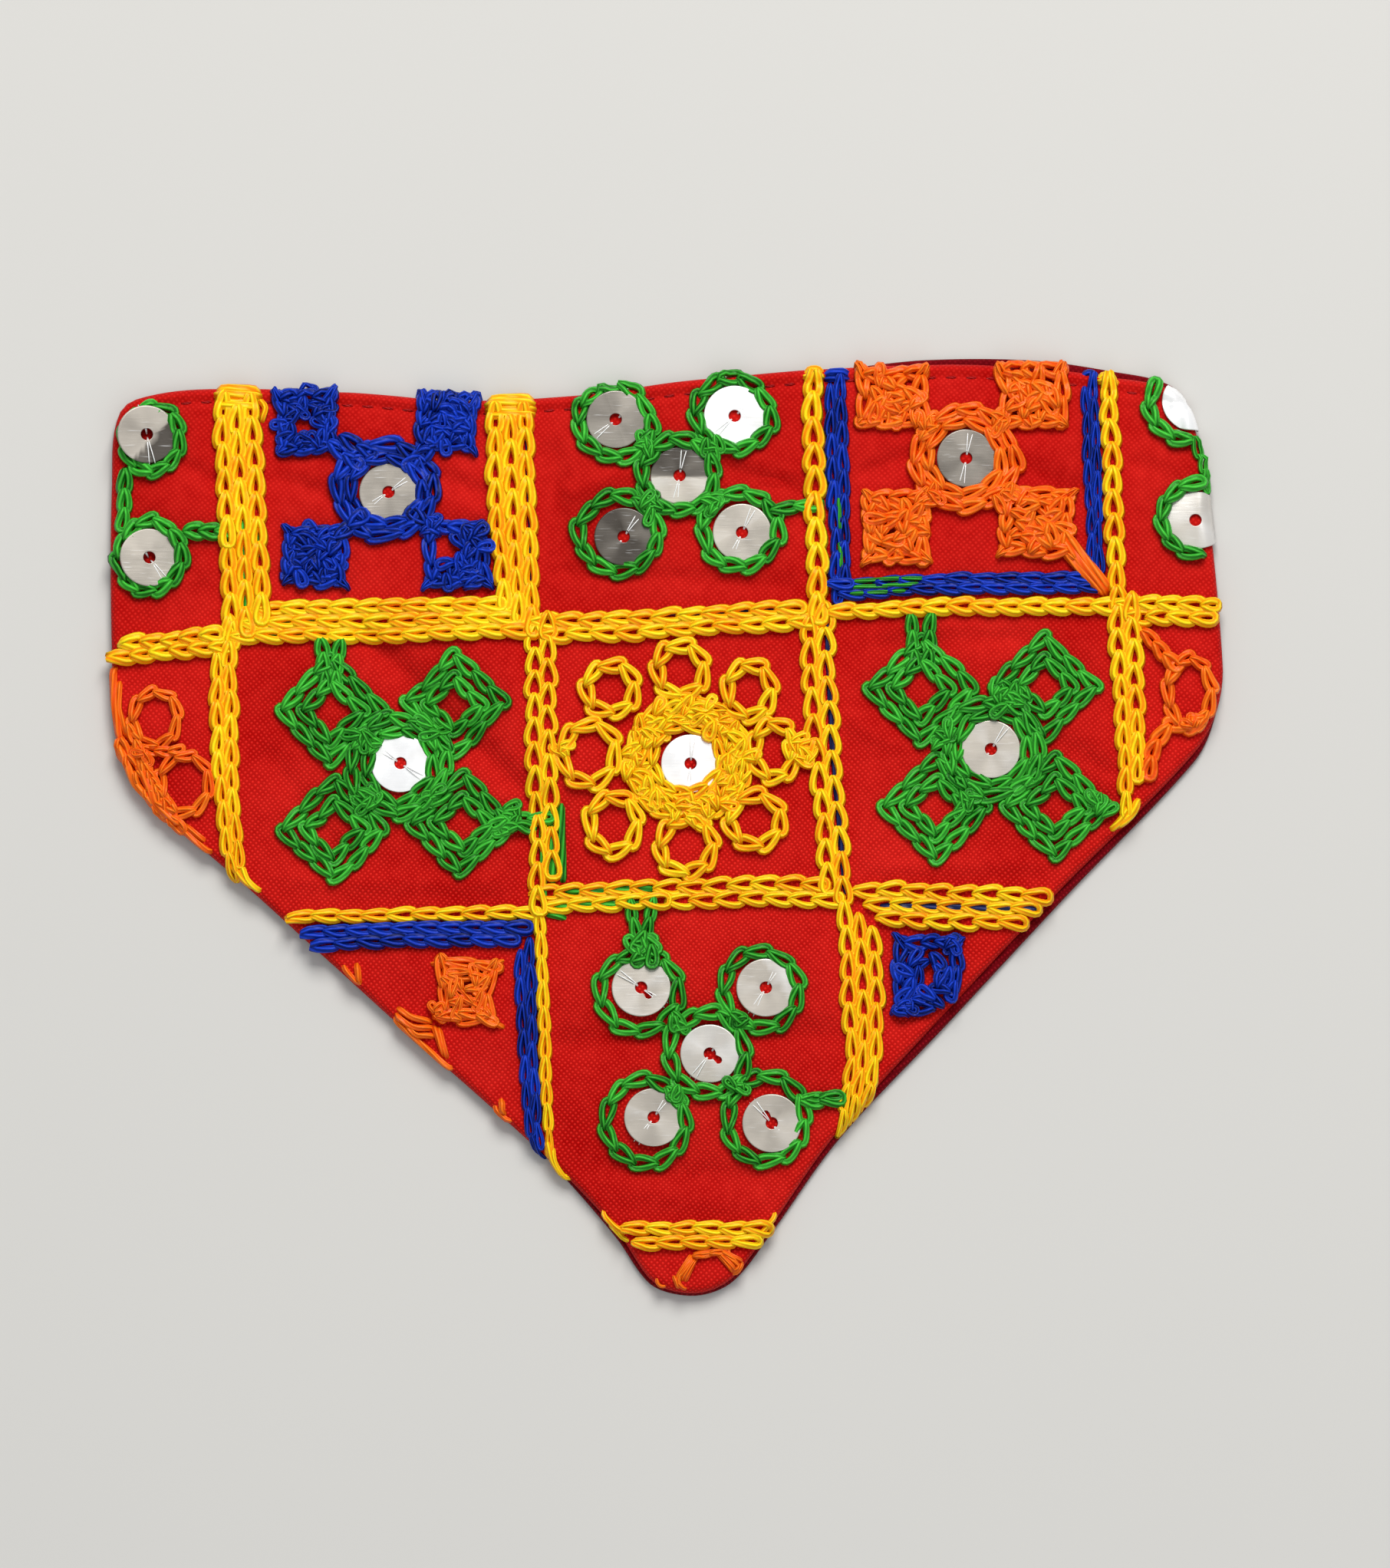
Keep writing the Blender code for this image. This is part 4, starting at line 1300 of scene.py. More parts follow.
@dataclass
class NeckStitching:
    """The machine stitches in the groove along the neck edge."""

    stitcher: Stitcher
    stitch: float = 2.3
    space: float = 0.45
    thickness: float = 0.36
    height: float = 0.16
    sink: float = 0.5
    corner: float = 3.0

    def build(self, rng: Rng) -> Object:
        """Lay short strands end to end along the line inside the neck edge."""
        shape = self.stitcher.shape
        loop = shape.front + inward_of(shape.front) * shape.stitch_in
        line = loop[loop[:, 1] > shape.stitch_from + self.corner]
        line = line[np.argsort(line[:, 0])]
        run = run_of(line)
        starts = np.arange(0.0, run[-1] - self.stitch, self.stitch + self.space)
        ends = [read_at(at, run, line) for at in (starts, starts + self.stitch)]
        held = [Strand(pair, self.thickness, self.height, self.sink) for pair in zip(*ends)]
        data = MeshData.joined(self.stitcher.strands(held, rng))
        return data.make("neck_stitching", SEWING.material(), THREAD_UV)


# Which way a band runs on the cloth
COLUMN, ACROSS = True, False

# The embroidery: the node, how much plumper than usual its thread is, and its chains and strands
MOTIFS = (
    Motif("blue_border_1_left", 1.35, (
        Band(2, 3.3, COLUMN, ((65, 21.5, 24.8), (54, 21.6, 25), (41.3, 22, 25.3),
            (31.9, 22.3, 25.6)), 1.5), Strand(((21.7, 63.2), (24.9, 63.4)), 1.1, 0.2),
        Strand(((21.7, 62.4), (24.9, 62.6)), 1, 0.35),
    )),
    Motif("blue_border_1_right", 1.35, (
        Band(2, 3.3, COLUMN, ((65, 56.3, 58.9), (49, 56.7, 59.4), (34.6, 57.4, 59.9)), 1.5, (0, 1)),
        Strand(((56.8, 63.5), (59, 63.2)), 1.1, 0.2),
    )),
    Motif("blue_border_1_foot", 1.32, (
        Band(2, 3.3, ACROSS, ((23.2, 31.7, 34.7), (34.3, 32.2, 35.4),
            (59, 32.5, 35.8)), 1.5, (0.6, -1.5)),
    )),
    Motif("blue_border_2_side", 1.22, (
        Band(2, 3.55, COLUMN, ((-16.4, -20.7, -17.6), (-28.4, -20.2, -17.1), (-36.9, -19.8, -16.8),
            (-41.1, -19.2, -16.6), (-45, -17.8, -16)), 1.5, (2, -1)),
    )),
    Motif("blue_border_2_top", 1.22, (
        Band(2, 3.2, ACROSS, ((-48.2, -16.7, -12.9), (-42, -16.6, -12.8),
            (-20.6, -16.3, -12.4)), 1.45, (-2.2, 2.6)),
    )),
    Motif("green_rings_upper", 1.2, (
        Ring(-6.9, 56.2, 6.4, 6.3, 11, 2.5), Ring(9.1, 57.3, 6.5, 6.3, 11, 2.5, 0, 50),
        Ring(1.7, 48.8, 6.3, 6.3, 11, 2.5, 0.2, 5), Ring(-6.3, 40.8, 6.7, 6.5, 11, 2.5, 0, 70),
        Ring(10, 41.3, 6.5, 6.5, 11, 2.5), Path(((14.2, 44), (20.4, 44.8)), 2.6, 2.4),
        Knot(-2.6, 52.4, 1.4, 4), Knot(5.8, 52.8, 1.4, 4), Knot(-2.2, 44.6, 1.6, 5),
        Knot(6, 44.8, 1.6, 5),
    )),
    Motif("green_rings_lower", 1.1, (
        Ring(-3.5, -22.4, 6.6, 6.8, 10, 2.45), Ring(12.9, -22.1, 6.5, 6.6, 10, 2.45, 0, 45),
        Ring(5.7, -30.9, 6.6, 6.9, 10, 2.45, 0.25, 5), Ring(-2.7, -40.2, 6.7, 7.1, 11, 2.45, 0, 60),
        Ring(13.6, -39.9, 6.6, 7.1, 11, 2.45, 0, 35),
        Path(((-4.9, -9.4), (-4.2, -13.6), (-2.9, -17)), 2.7, 1.9, 0.1),
        Path(((-1.7, -9.2), (-2.3, -13.4), (-3.3, -16.8)), 2.7, 1.9, 0.15),
        Path(((17.9, -37.5), (23.4, -37.1)), 3, 2.8, 0.1),
        Path(((18.6, -37), (23.1, -36.6)), 2.7, 1.7, 0.15), Loops(-3, -16.4, 0, 1.5, 8, 2.6, 2.2, 0.3),
        Knot(1.2, -26.4, 1.2, 3), Knot(9.6, -26.2, 1.2, 3), Knot(1.8, -36, 1.2, 3),
        Knot(9.8, -36, 1.2, 3),
    )),
    Motif("green_rings_left", 1.36, (
        Ring(-69.9, 53.8, 5.1, 5.7, 10, 2.4, 0.1), Ring(-70, 37.6, 5.5, 6.1, 11, 2.4, 0.1, 55),
        Path(((-73.6, 49.8), (-73.8, 42)), 2.8, 2.3), Path(((-65.8, 41), (-59.2, 41.2)), 2.4, 2.7),
    )),
    Motif("green_rings_right", 1.25, (
        Ring(70.9, 58.8, 6.2, 6.3, 11, 2.4, 0.25), Ring(72.1, 42.8, 6.1, 6.3, 11, 2.4, 0.25, 55),
        Path(((71.6, 54.6), (72.8, 50.6), (73.4, 47.4)), 2.7, 1.6),
    )),
    Motif("green_diamonds_left", 1.14, (
        Square(-45.4, 16.2, 5.9, 5.9, 45, 2), Square(-28.6, 17.2, 5.7, 5.7, 45, 2),
        Square(-45, 0, 5.9, 5.9, 45, 2), Square(-27.6, 0.6, 5.8, 5.8, 45, 2),
        Ring(-36.2, 8.7, 7.7, 7.7, 13, 2.3, 0.2, 20, 0.3), Ring(-36.2, 8.7, 6, 6, 10, wild=0.2),
        Path(((-46.9, 26.6), (-46.2, 19.6)), 2.8, 2.2), Path(((-44.1, 26.6), (-44.8, 19.6)), 2.8, 2.2),
        Path(((-22, 1.1), (-15.8, 1.8)), 2.7, 2.4), Knot(-40.6, 4.2, 1.7, 7), Knot(-31.8, 13.4, 1.6, 5),
        Loops(-20.9, 1.2, 0, 1.9, 8, 2, 1.8), Knot(-40.8, 12.6, 1.6), Knot(-31.4, 4.6, 1.3, 3),
    )),
    Motif("green_diamonds_right", 1.14, (
        Square(34.7, 19.2, 5.9, 5.9, 45, 2), Square(51.6, 19.7, 5.8, 5.8, 45, 2),
        Square(36.7, 2.9, 5.9, 5.9, 45, 2), Square(53, 3.1, 5.8, 5.8, 45, 2),
        Ring(44.2, 11.1, 7.6, 7.6, 13, 2.3, 0.2, 20, 0.3), Ring(44.2, 11.1, 6, 6, 10, wild=0.2),
        Path(((33.4, 30), (34, 22.6)), 2.8, 2.2), Path(((36.2, 30), (35.4, 22.6)), 2.8, 2.2),
        Loops(46.6, 18.2, 0, 2.2, 10, 2, 1.8), Knot(40.4, 3.8, 1.6, 5), Knot(58.6, 3.2, 1.4, 5),
        Knot(38, 12.6, 1.6, 5),
    )),
    Motif("blue_cross", 1.28, (
        Ring(-38.2, 46.9, 7.9, 7.7, 12, 2.5, 0.1, 20, 0.25), Ring(-38, 46.7, 6.2, 6.1, 10, 2.3, 0.1),
        Square(-48.9, 56.2, 4.3, 4.3, 4, 1, 1.6, 2.3, 2.3, 0.1, 0.25),
        Loops(-48.8, 55.9, 2, 3.3, 18, 1.8, 1.9, 0.15), Loops(-50, 59.2, 0, 1.5, 4, 1.8, 1.8, 0.2),
        Square(-29.8, 56.1, 4.1, 4, -3, 1, 1.3, 2.3, 2.3, 0.1, 0.25),
        Loops(-29.8, 56.2, 0.2, 3.3, 21, 1.8, 2, 0.15),
        Square(-47.7, 37.7, 4.5, 4.2, -2, 1, 1.6, 2.3, 2.3, 0.1, 0.25),
        Loops(-47.6, 37.8, 0.5, 3.6, 21, 1.8, 2, 0.15),
        Square(-28.6, 37.9, 4.5, 4.7, 3, 1, 1.6, 2.3, 2.3, 0.1, 0.25),
        Loops(-27.6, 35.7, 0.2, 2.5, 13, 1.8, 1.9, 0.15), Loops(-26.4, 39.7, 0.2, 2, 8, 1.8, 1.9, 0.15),
        Knot(-32, 41.8, 1.2, 5), Path(((-46, 53.6), (-41.8, 50.2)), 2.3, 2.6, 0.2),
        Path(((-44.4, 54.4), (-40.2, 51.8)), 2.3, 2.4, 0.3),
        Path(((-31.6, 52.6), (-35, 50.4)), 2.3, 2.6, 0.2),
        Path(((-45.2, 40), (-41.2, 43.2)), 2.3, 2.6, 0.2),
        Path(((-30.6, 40.6), (-34.2, 43.4)), 2.3, 2.6, 0.2),
    )),
    Motif("blue_block", 1.1, (
        Square(35.5, -20.1, 4.6, 5.5, -2, 1, 1.8, 2.8, 2.4, 0.05, 0.3),
        Loops(35.6, -20.9, 1.5, 3.6, 15, 2.2, 2, 0.2), Knot(38.6, -15.6, 1.2, 4),
        Knot(32.6, -24.4, 1.1, 5),
    )),
    Motif("orange_cross", 1.2, (
        Ring(40.7, 51.2, 7.9, 8, 13, 2.4, 0.15, 20, 0.25), Ring(40.7, 51.2, 6.3, 6.3, 10, 2.3, 0.1),
        Square(31, 59.8, 5.1, 4.4, 0, 1, 1.4, 2.7, 2.5, 0.1, 0.28),
        Loops(31, 59.4, 0.2, 3.2, 15, 2.3, 2.2, 0.15),
        Square(49.9, 59.9, 4.9, 4.4, 0, 1, 1.4, 2.7, 2.5, 0.1, 0.28),
        Loops(49.9, 59.9, 0.2, 3.5, 16, 2.3, 2.2, 0.15),
        Square(31.4, 41.8, 4.7, 5.2, 0, 1, 1.6, 2.7, 2.5, 0.1, 0.28),
        Loops(31.6, 41.8, 0.2, 3.7, 17, 2.3, 2.2, 0.15),
        Square(50.5, 42.3, 5.3, 4.9, 0, 1, 1.6, 2.7, 2.5, 0.1, 0.28),
        Loops(50.5, 42.4, 0.2, 3.8, 17, 2.3, 2.2, 0.15), Knot(35.6, 56, 1.5, 5), Knot(45.6, 56.4, 1.5, 5),
        Knot(35.6, 46, 1.5, 5), Knot(46.2, 46.4, 1.5, 5),
        Strand(((53.8, 40.2), (56.6, 36.6), (60, 32.8)), 1.3, 0.8),
        Strand(((54.6, 40.6), (57.2, 37.2), (60.3, 33.3)), 1.2, 0.95),
        Strand(((53.2, 39.6), (56, 36.2), (59.6, 32.6)), 1.2, 0.6),
    )),
    Motif("orange_block", 1, (
        Square(-27, -22.2, 4.1, 4.2, -4, 1, 1.3, 2.8, 1.9, 0.1, 0.35, 1.9),
        Path(((-29.8, -20.6), (-26.8, -20.3), (-24.4, -20.9)), 2.4, 1.9, 0.2, 0.25),
        Path(((-29.8, -23.8), (-27.2, -23.2), (-24.6, -24.2)), 2.4, 1.9, 0.2, 0.25),
        Path(((-31.2, -25.6), (-27.6, -25.3), (-23.4, -26.4)), 2.7, 1.9, 0.25, 0.2),
        Loops(-27, -22, 0.4, 2.8, 10, 2.6, 1.5, 0.25), Knot(-31.2, -24.9, 0.9, 4, 1.5, 0.2),
        Strand(((-31.2, -17.9), (-29.4, -19.6)), 0.8, 0.5),
        Strand(((-31.8, -18.5), (-29.2, -18.4)), 0.8, 0.5),
        Strand(((-23.4, -18.8), (-21.9, -17.9)), 0.7, 0.5),
        Strand(((-23.6, -20.6), (-22.2, -18.2)), 0.7, 0.55),
        Strand(((-25, -26.2), (-21.9, -27.2)), 0.8, 0.5), Strand(((-31.4, -27), (-30, -31)), 0.9, 0.5),
        Strand(((-30.8, -27.2), (-29.6, -31.4)), 0.8, 0.5),
        Strand(((-31.8, -26.4), (-34.6, -25.9), (-36.2, -24.6)), 0.9, 0.6),
        Strand(((-31.4, -27.2), (-34, -27.4), (-36.6, -25.4)), 0.9, 0.45),
        Strand(((-31.2, -28.4), (-33.6, -28.3), (-35.2, -26.7)), 0.8, 0.4),
    )),
    Motif("orange_rings_left", 1.4, (
        Ring(-69.3, 15.3, 4.1, 4.8, 8, 1.85, 0.05, 10, 0.08),
        Ring(-65.3, 6.2, 4.4, 5.1, 8, 1.9, 0.05, 30, 0.08),
        Path(((-74, 12.8), (-72.9, 9.6), (-70.6, 5.6), (-67.6, 2.2), (-65.6, 0.6)), 2.5, 1.9),
        Path(((-73, 14.6), (-71.4, 10.4), (-68.9, 5.4), (-67, 2.6)), 2.4, 1.9, 0.1),
        Path(((-72.2, 11.6), (-70, 7.2), (-68, 3.6)), 2.2, 1.7, 0.2), Knot(-71, 10.2, 1, 5, 1.5),
        Path(((-71.6, 11.2), (-68.8, 10.6), (-66, 11)), 2.2, 1.6, 0.15),
        Strand(((-75, 22.6), (-74.8, 17.6), (-74, 12.2)), 1.1),
        Strand(((-74.2, 20.6), (-74.2, 16.6), (-73.2, 12.8))),
        Strand(((-66.4, 1), (-63.8, -1.4), (-61.6, -3.2)), 0.9),
        Strand(((-65.4, 0.8), (-62.4, -1.6)), 0.8, 0.2),
        Strand(((-74.3, 12.2), (-71.9, 6.6), (-67, 1.4)), 1.2, 0.5),
        Strand(((-72.6, 11.6), (-70.4, 6.8), (-67.4, 3)), 1.1, 0.6),
        Strand(((-71.8, 9.2), (-69, 3.6), (-65.8, 0.9)), 1.2, 0.7),
    )),
    Motif("orange_rings_right", 1.45, (
        Ring(71.2, 18.9, 4.1, 5.9, 9, 2.1, 0.05, 10, 0.08),
        Path(((64.6, 27.4), (67.4, 24.4), (69.4, 22.8)), 2.3, 2.5, 0.1),
        Path(((73.2, 15.6), (71.4, 14.2), (68.4, 14.4), (66.2, 11.4), (65.8, 7.8)), 2.4, 2.5),
        Knot(71.8, 14.6, 0.9, 3, 1.7),
    )),
    Motif("orange_arch", 1, (
        Path(((3.3, -58.6), (7.9, -58)), 2.3, 1.1, 0.1, 0.05),
        Strand(((2.1, -63.3), (1.6, -61.7), (3.8, -58.3)), 0.6),
        Strand(((1.3, -61.9), (3.5, -58.2)), 0.55, 0.35), Strand(((1, -61.1), (1.9, -63.2)), 0.6, 0.35),
        Strand(((3, -63.3), (1.2, -61.9)), 0.6), Strand(((2.6, -62.2), (4.3, -58.6)), 0.6),
        Strand(((1.8, -61.8), (3.9, -58.7)), 0.6, 0.4), Strand(((2.2, -62), (4.1, -58.6)), 0.6, 0.45),
        Strand(((7.1, -58.1), (9.7, -60.6)), 0.65, 0.45), Strand(((3.5, -58.8), (7.8, -58.1)), 0.6, 0.4),
        Strand(((3.6, -58.2), (7.8, -57.6)), 0.6), Strand(((3.7, -58.5), (7.4, -57.9)), 0.6, 0.5),
        Strand(((7, -57.5), (10.6, -59.3)), 0.6, 0.4), Strand(((6.9, -58.1), (9.3, -60.9)), 0.55, 0.35),
        Strand(((7.4, -58), (10.2, -60)), 0.6, 0.4), Strand(((7.2, -57.8), (10, -59.3)), 0.6, 0.5),
        Strand(((10.6, -59.2), (9.2, -61.3)), 0.6, 0.35), Strand(((10.2, -59.6), (9, -60.8)), 0.6, 0.4),
        Strand(((-1.4, -61.4), (-0.9, -62.4), (0.2, -63)), 0.5),
    )),
    Motif("yellow_row_1_far_left", 1.5, (
        Band(2, 2.5, ACROSS, ((-75.6, 22.3, 26.8), (-59.6, 24, 28.2)), 1.75),
    )),
    Motif("yellow_row_1_left", 1.45, (
        Band(3, 3.4, ACROSS, ((-59.4, 25.3, 31.5), (-36, 25.6, 32),
            (-19.2, 26.1, 32.3)), 1.45, (2.9, -0.9)),
    )),
    Motif("yellow_row_1_middle", 1.4, (
        Band(2, 3.3, ACROSS, ((-17, 25.4, 29.9), (-2.9, 26, 30.6), (13.8, 27.1, 31.5),
            (19.8, 27.3, 31.8)), 1.5),
    )),
    Motif("yellow_row_1_right", 1.42, (
        Band(1, 3.3, ACROSS, ((21.8, 28.7, 31.3), (34.3, 29.3, 32), (60.8, 29.4, 32.3))),
    )),
    Motif("yellow_row_1_far_right", 1.35, (
        Band(2, 2.9, ACROSS, ((62.4, 28, 32.6), (74, 27.6, 32.2)), 1.55),
        Path(((72.9, 30.9), (74.2, 30.9)), 2, 2.4),
    )),
    Motif("yellow_row_2_left", 1.12, (
        Band(1, 3.3, ACROSS, ((-51.8, -13.1, -11.2), (-48.7, -13.1, -10.9), (-17.6, -12.7, -10.3))),
    )),
    Motif("yellow_row_2_middle", 1.12, (
        Band(2, 3.3, ACROSS, ((-16.8, -12, -7.6), (-5, -11.3, -6.8), (11.7, -10.8, -6.2),
            (23.2, -11, -6.3)), 1.45, (0.8, 0)),
    )),
    Motif("yellow_row_2_right", 1.12, (
        Band(3, 3.28, ACROSS, ((28.5, -13.5, -7.1), (40.8, -14.1, -7.2),
            (48.2, -13.9, -7.9)), 1.42, (-1.6, 1.65)),
    )),
    Motif("yellow_row_3", 1.12, (
        Band(2, 3.2, ACROSS, ((-4.6, -57.8, -53.8), (12, -57.6, -53.6)), 1.2, (-1.2, 1.4)),
        Strand(((-5.2, -55.4), (-6.8, -54.4), (-8.8, -52.4))), Strand(((-5, -56.6), (-8, -53.6)), 0.7),
        Strand(((12.6, -55.8), (15.1, -52.6))), Strand(((12, -57.2), (13.6, -55)), 0.7),
    )),
    Motif("yellow_column_1", 1.48, (
        Band(3, 3.5, COLUMN, ((60.6, -61.3, -55.5), (55, -61.9, -54.9), (37.3, -60.7, -53.8),
            (25.6, -60.3, -53.4)), 1.42, (0, 1.9)), Band(2, 3.3, COLUMN, ((24.6, -62.2, -58.1),
            (9.6, -61.9, -57.9), (1.2, -61, -57.3), (-3.1, -60.4, -57),
            (-6.2, -59.2, -56.7)), 1.65, (2.6, 0)), Strand(((-59, -4.4), (-57.8, -6.2), (-55.8, -8)), 1),
        Strand(((-57.8, -4.6), (-56.8, -6.8), (-55, -8.5)), 0.9, 0.35),
        Strand(((-61, 61), (-55.4, 60.8)), 1.3), Strand(((-61.2, 60.2), (-55.3, 60)), 1.3, 0.45),
        Strand(((-61.1, 59.4), (-55.4, 59.2)), 1.3, 0.6),
        Strand(((-60.8, 58.6), (-55.8, 58.5)), 1.2, 0.75),
        Strand(((-55.6, 59.8), (-54.4, 58.4), (-55, 56.4)), 0.9, 0.4),
    )),
    Motif("yellow_column_2", 1.48, (
        Band(3, 3.5, COLUMN, ((59.2, -24.8, -17.9), (41.3, -24.4, -17.1), (33.7, -23.5, -16.9),
            (31, -23.2, -16.8)), 1.42, (0, -2)), Strand(((-24.1, 59.6), (-18.2, 59.9)), 1.3),
        Strand(((-24.3, 58.8), (-18.1, 59)), 1.3, 0.5), Strand(((-24.2, 58), (-18, 58.2)), 1.3, 0.65),
        Strand(((-24, 57.2), (-18.1, 57.4)), 1.2, 0.8),
    )),
    Motif("yellow_column_2", 1.14, (
        Band(2, 3.3, COLUMN, ((28.6, -19.3, -14.5), (18.1, -19.4, -14.6), (1.2, -18.7, -14.3),
            (-11, -18.4, -13.9)), 1.6, (0, 3.2)), Band(1, 3.5, COLUMN, ((-10.6, -18.4, -16.4),
            (-14.2, -17.9, -16), (-28.4, -17.5, -15.3), (-41, -16.8, -15), (-44.2, -16.3, -15))),
        Strand(((-16.2, -42.6), (-15.2, -45.4), (-13.5, -48.2)), 0.9, 0.35),
        Strand(((-15.4, -43.4), (-14.9, -45.6), (-13.2, -48.4)), 0.7, 0.35),
    )),
    Motif("yellow_column_3", 1.25, (
        Band(2, 3.3, COLUMN, ((29.8, 18.1, 23.2), (22.3, 18.2, 23.2), (13.9, 18.6, 23.9), (1.2, 20, 24.8),
            (-8.1, 20.9, 25.7)), 1.6, (0, -2.2)),
    )),
    Motif("yellow_column_3", 1.14, (
        Band(3, 3.6, COLUMN, ((-9.6, 23, 28.8), (-16.3, 23.5, 29.5), (-23.7, 23.6, 30),
            (-31.1, 24.2, 29.8), (-41.6, 23, 26.6)), 1.45, (-1.4, 1.6)),
    )),
    Motif("yellow_column_4", 1.38, (
        Band(1, 3.4, COLUMN, ((63.2, 58.8, 61.5), (49, 59.3, 62.2), (30.6, 60.1, 63))),
            Band(2, 3.2, COLUMN, ((31, 60, 64.9), (21.6, 60.3, 65.2), (11.6, 61, 65.4), (5.5, 61.3, 65.2),
            (2.4, 61.5, 64.6)), 1.55, (0, 2.4)), Strand(((59, 63), (61.4, 62.8)), 1.1),
        Strand(((59, 62.1), (61.6, 61.9)), 1, 0.45), Strand(((62.8, 3.2), (62, 1.6), (60.5, 0)), 1),
        Strand(((64.2, 4.2), (63.4, 2.4), (61.4, 0.5)), 1.1, 0.35),
    )),
    Motif("yellow_flower", 1.22, (
        Ring(2.9, 9.6, 5.8, 5.8, 12, 2.1, 0.1, 10, 0.2), Ring(2.9, 9.6, 7.5, 7.5, 15, 2.3, 0.05, 0, 0.3),
        Ring(2.9, 9.6, 9.2, 9.2, 18, 2.3, wild=0.3), Loops(2.9, 9.6, 5.3, 8.5, 60, 1.9, 1.9),
        Ring(2, 22, 4.8, 4.8, 7, 2.5, 0.2), Ring(11.4, 19.1, 4.5, 4.9, 7, 2.5, 0.2, 60),
        Ring(14.8, 10.7, 4.3, 5.2, 7, 2.5, 0.2, 0), Ring(12.2, 1.2, 4.8, 5, 7, 2.5, 0.2, 30),
        Ring(2.8, -2.2, 5.1, 5.2, 8, 2.5, 0.2, 50), Ring(-7, 0.7, 4.7, 5.2, 7, 2.5, 0.2, 10),
        Ring(-10.4, 10.2, 5, 5.6, 7, 2.5, 0.2, 80), Ring(-7.5, 19.3, 4.8, 4.8, 7, 2.5, 0.2),
        Knot(-14.2, 10.4, 1.1, 3, 1.7, 0.1), Loops(18.2, 10.6, 0, 1.8, 7, 2.1, 1.9),
    )),
    Motif("yellow_column_3", 1.52, (
        Band(1, 3.4, COLUMN, ((63.9, 18.6, 21.7), (54, 18.3, 21.8), (29.2, 19.2, 22.4))),
        Strand(((19, 63.6), (21.4, 63.7)), 1.1), Strand(((18.9, 62.7), (21.4, 62.8)), 1, 0.45),
    )),
)

# Stray ends and threads carried under the bands
STRAYS = {
    "orange_edge_threads": (
        Strand(((-41.9, -18.4), (-41.5, -21.2)), 0.9, 0.4),
        Strand(((-43.9, -18.6), (-42.9, -19.8), (-41.3, -21.4)), 0.8, 0.2),
        Strand(((-37, -25.8), (-33.7, -28.8), (-30.9, -31.3), (-28.9, -33.1)), 0.9, 0.2),
        Strand(((-22.3, -37), (-21.9, -39.3)), 0.9, 0.4),
        Strand(((-23.5, -37.9), (-22.2, -39.2), (-20.9, -40.3)), 0.8, 0.2),
    ),
    "green_carried_threads": (
        Strand(((-57.6, 42.8), (-57.1, 29)), 1.2, 0), Strand(((-55.8, 41.2), (-55.6, 37.6)), 1.2, 0),
        Strand(((-59.7, 41.2), (-57.8, 41.3)), 1.5, 0.1), Strand(((-56.4, 26.9), (-47, 27.4)), 1, -0.1),
        Strand(((-54, 28.9), (-47, 29.2)), 1.1, -0.1), Strand(((-14.2, 3.6), (-13.9, -7.2)), 1.1, 0.25),
        Strand(((-15.4, 1), (-15.3, -7.6)), 1.1, -0.1), Strand(((-16.7, 0.4), (-16.5, -10.8)), 1, 0.25),
        Strand(((-15.4, -10.6), (-1.2, -10)), 1.2, -0.1), Strand(((-13.8, -8.5), (-1.2, -8)), 1.2, -0.1),
        Strand(((-16.4, -11.5), (-13.4, -12.2)), 0.9, 0.25),
        Strand(((24.6, 34.1), (31, 34.6), (35.8, 34.6)), 0.6, 0.95),
        Strand(((24.4, 33.4), (30, 33.6), (34.8, 33.9)), 0.65, 0.85),
        Strand(((24.8, 32.5), (33, 32.9)), 0.6, 0.9), Strand(((23.5, 46.2), (23.8, 41)), 0.6, 0.85),
        Strand(((23.7, 40), (23.9, 35.6)), 0.6, 0.85),
    ),
    "blue_carried_threads": (
        Strand(((22, 30), (22.8, 11.6), (24.6, -9)), 1.2, -0.15),
        Strand(((-18.9, 56), (-18, 32)), 0.9, -0.2), Strand(((29, -10.6), (51, -10.9)), 1.4, -0.1),
        Strand(((-13, 28.9), (-6, 29.6), (18, 30.4)), 0.9, -0.3),
    ),
}


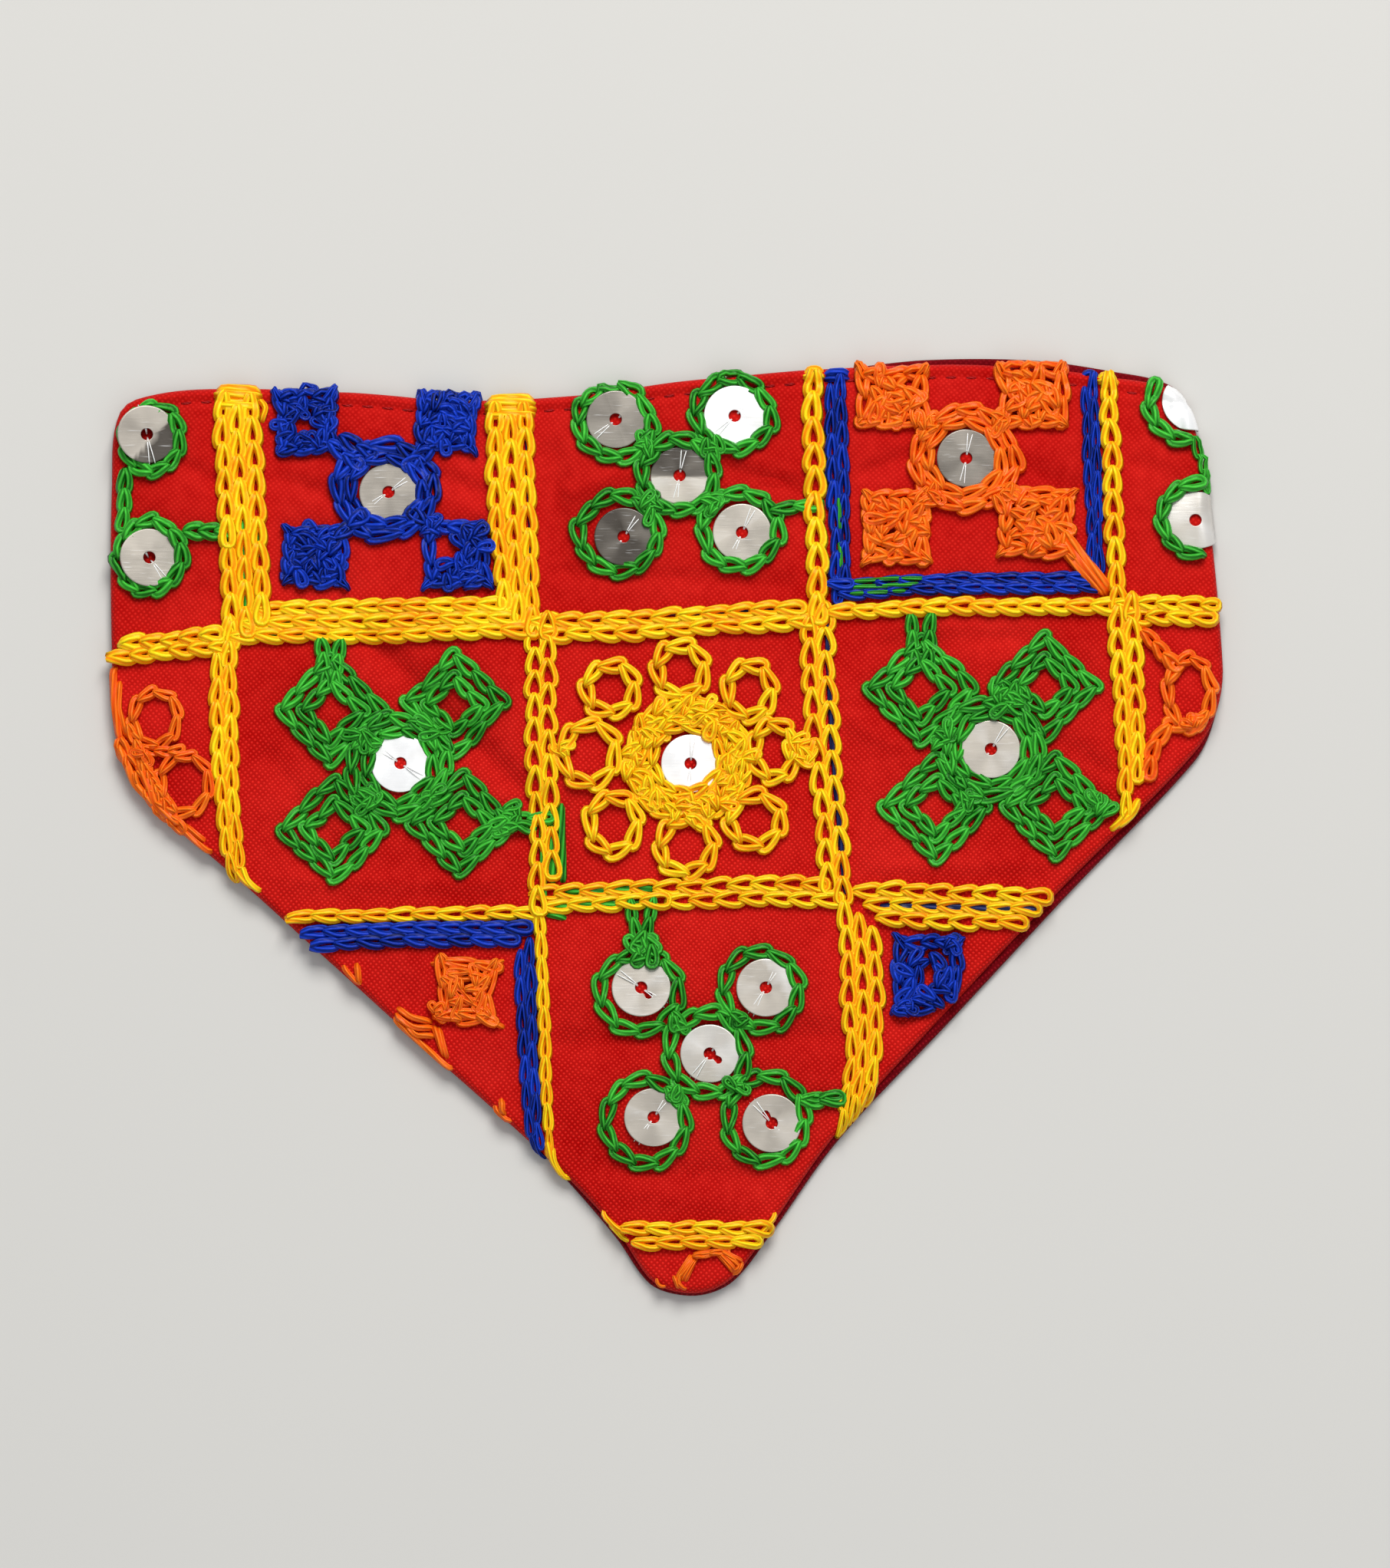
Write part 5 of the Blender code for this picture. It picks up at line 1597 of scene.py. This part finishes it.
@dataclass
class Studio:
    """The plain floor, the soft lights and the camera at the photograph's angle."""

    target: tuple[float, float, float] = (0.0040, 0.0062, 0.0032)
    elevation: float = 80.0
    distance: float = 3.2
    frame_height: float = 0.2129
    sensor: float = 36.0
    floor_half: float = 1.6
    sky: Colour = (0.94, 0.97, 1.0)
    sky_strength: float = 0.36

    def build(self) -> None:
        """Set up everything that isn't part of the bandana."""
        self.floor()
        self.camera()
        self.light("key_light", (0.12, 0.80, 1.00), 0.7, 15.5, (1.0, 0.985, 0.96))
        self.light("fill_light", (0.20, -0.70, 1.10), 1.1, 3.4, (0.96, 0.98, 1.0))
        world = bpy.data.worlds.new("studio")
        world.use_nodes = True
        background = world.node_tree.nodes["Background"]
        background.inputs["Color"].default_value = (*self.sky, 1.0)
        background.inputs["Strength"].default_value = self.sky_strength
        bpy.context.scene.world = world
        bpy.context.scene.view_settings.view_transform = "Standard"

    def floor(self) -> None:
        """Lay the floor just below the cloth."""
        half = self.floor_half
        mesh = bpy.data.meshes.new("floor")
        corners = [(-half, -half, 0.0), (half, -half, 0.0), (half, half, 0.0), (-half, half, 0.0)]
        mesh.from_pydata(corners, [], [(0, 1, 2, 3)])
        mesh.materials.append(FloorFinish().material())
        linked("floor", mesh)

    def camera(self) -> None:
        """Set the camera back along its own line of sight from the target."""
        tilt = math.radians(self.elevation)
        lens = bpy.data.cameras.new("camera")
        lens.sensor_width = self.sensor
        lens.lens = self.sensor * self.distance / self.frame_height
        lens.clip_start = 0.01
        thing = linked("camera", lens)
        x, y, z = self.target
        thing.location = (x, y - self.distance * math.cos(tilt), z + self.distance * math.sin(tilt))
        thing.rotation_euler = (math.pi / 2.0 - tilt, 0.0, 0.0)
        bpy.context.scene.camera = thing

    def light(self, name: str, place: Colour, size: float, power: float, colour: Colour) -> None:
        """Hang a square soft light that faces the bandana.

        Args:
            name: its name.
            place: where it hangs, in metres.
            size: its side.
            power: in watts.
            colour: of its light.
        """
        lamp = bpy.data.lights.new(name, "AREA")
        lamp.size = size
        lamp.energy = power
        lamp.color = colour
        thing = linked(name, lamp)
        thing.location = place
        x, y, z = place
        thing.rotation_euler = (math.atan2(math.hypot(x, y), z), 0.0, math.atan2(x, -y))


def carry(piece: Object, node: str | None = None) -> None:
    """Fasten a piece to the body and log it.

    Args:
        piece: the piece.
        node: the solid that it replaces, if any.
    """
    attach(piece, "root")
    if node:
        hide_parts(node)
    LOG.info("%s: %d faces", piece.name, len(piece.data.polygons))


def main() -> None:
    """Dress the bandana from the back cloth up, then set up the studio."""
    logging.basicConfig(level=logging.INFO, format="%(message)s")
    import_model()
    draws = np.random.default_rng
    shape = ClothShape()
    runs = [motif.links(shape, draws(SEED + number)) for number, motif in enumerate(MOTIFS)]
    under = np.full((1, 2), 1.0 / TINY)
    for links in runs:
        links.lift_over(under)
        under = np.concatenate([under, links.middles()])
    shape.gather(np.concatenate([links.base for links in runs] + [under[1:]]))

    back = BackCloth(shape).build()
    carry(back, "back_panel")
    front = FrontCloth(shape).build()
    carry(front, "front_panel")

    stitcher = Stitcher(shape)
    materials = {thread: finish.material() for thread, finish in FINISHES.items()}
    parts: dict[str, list[MeshData]] = {}
    for number, (motif, links) in enumerate(zip(MOTIFS, runs)):
        rng = draws(STRAND_SEED + number)
        thickness = FINISHES[Thread.of(motif.node)].thickness * motif.plump
        worked = [stitcher.chain(links, thickness, rng)] + stitcher.strands(motif.strands(), rng)
        parts.setdefault(motif.node, []).extend(worked)
    for node, worked in parts.items():
        thread = Thread.of(node)
        piece = MeshData.joined(worked).make(f"{node}_stitches", materials[thread], THREAD_UV)
        carry(piece, node)
    for number, (name, strands) in enumerate(STRAYS.items()):
        thread = Thread.of(name)
        # Blue carried threads take the darker copy of the blue thread, as painted shade under the bands
        material = SHADED_BLUE.material() if thread is Thread.BLUE else materials[thread]
        laid = MeshData.joined(stitcher.strands(strands, draws(STRAY_SEED + number)))
        carry(laid.make(name, material, THREAD_UV))
    discs, threads = SequinWork(stitcher).build(draws(SEQUIN_SEED))
    carry(discs)
    carry(threads)
    carry(NeckStitching(stitcher).build(draws(NECK_SEED)))

    Studio().build()


if __name__ == "__main__":
    main()
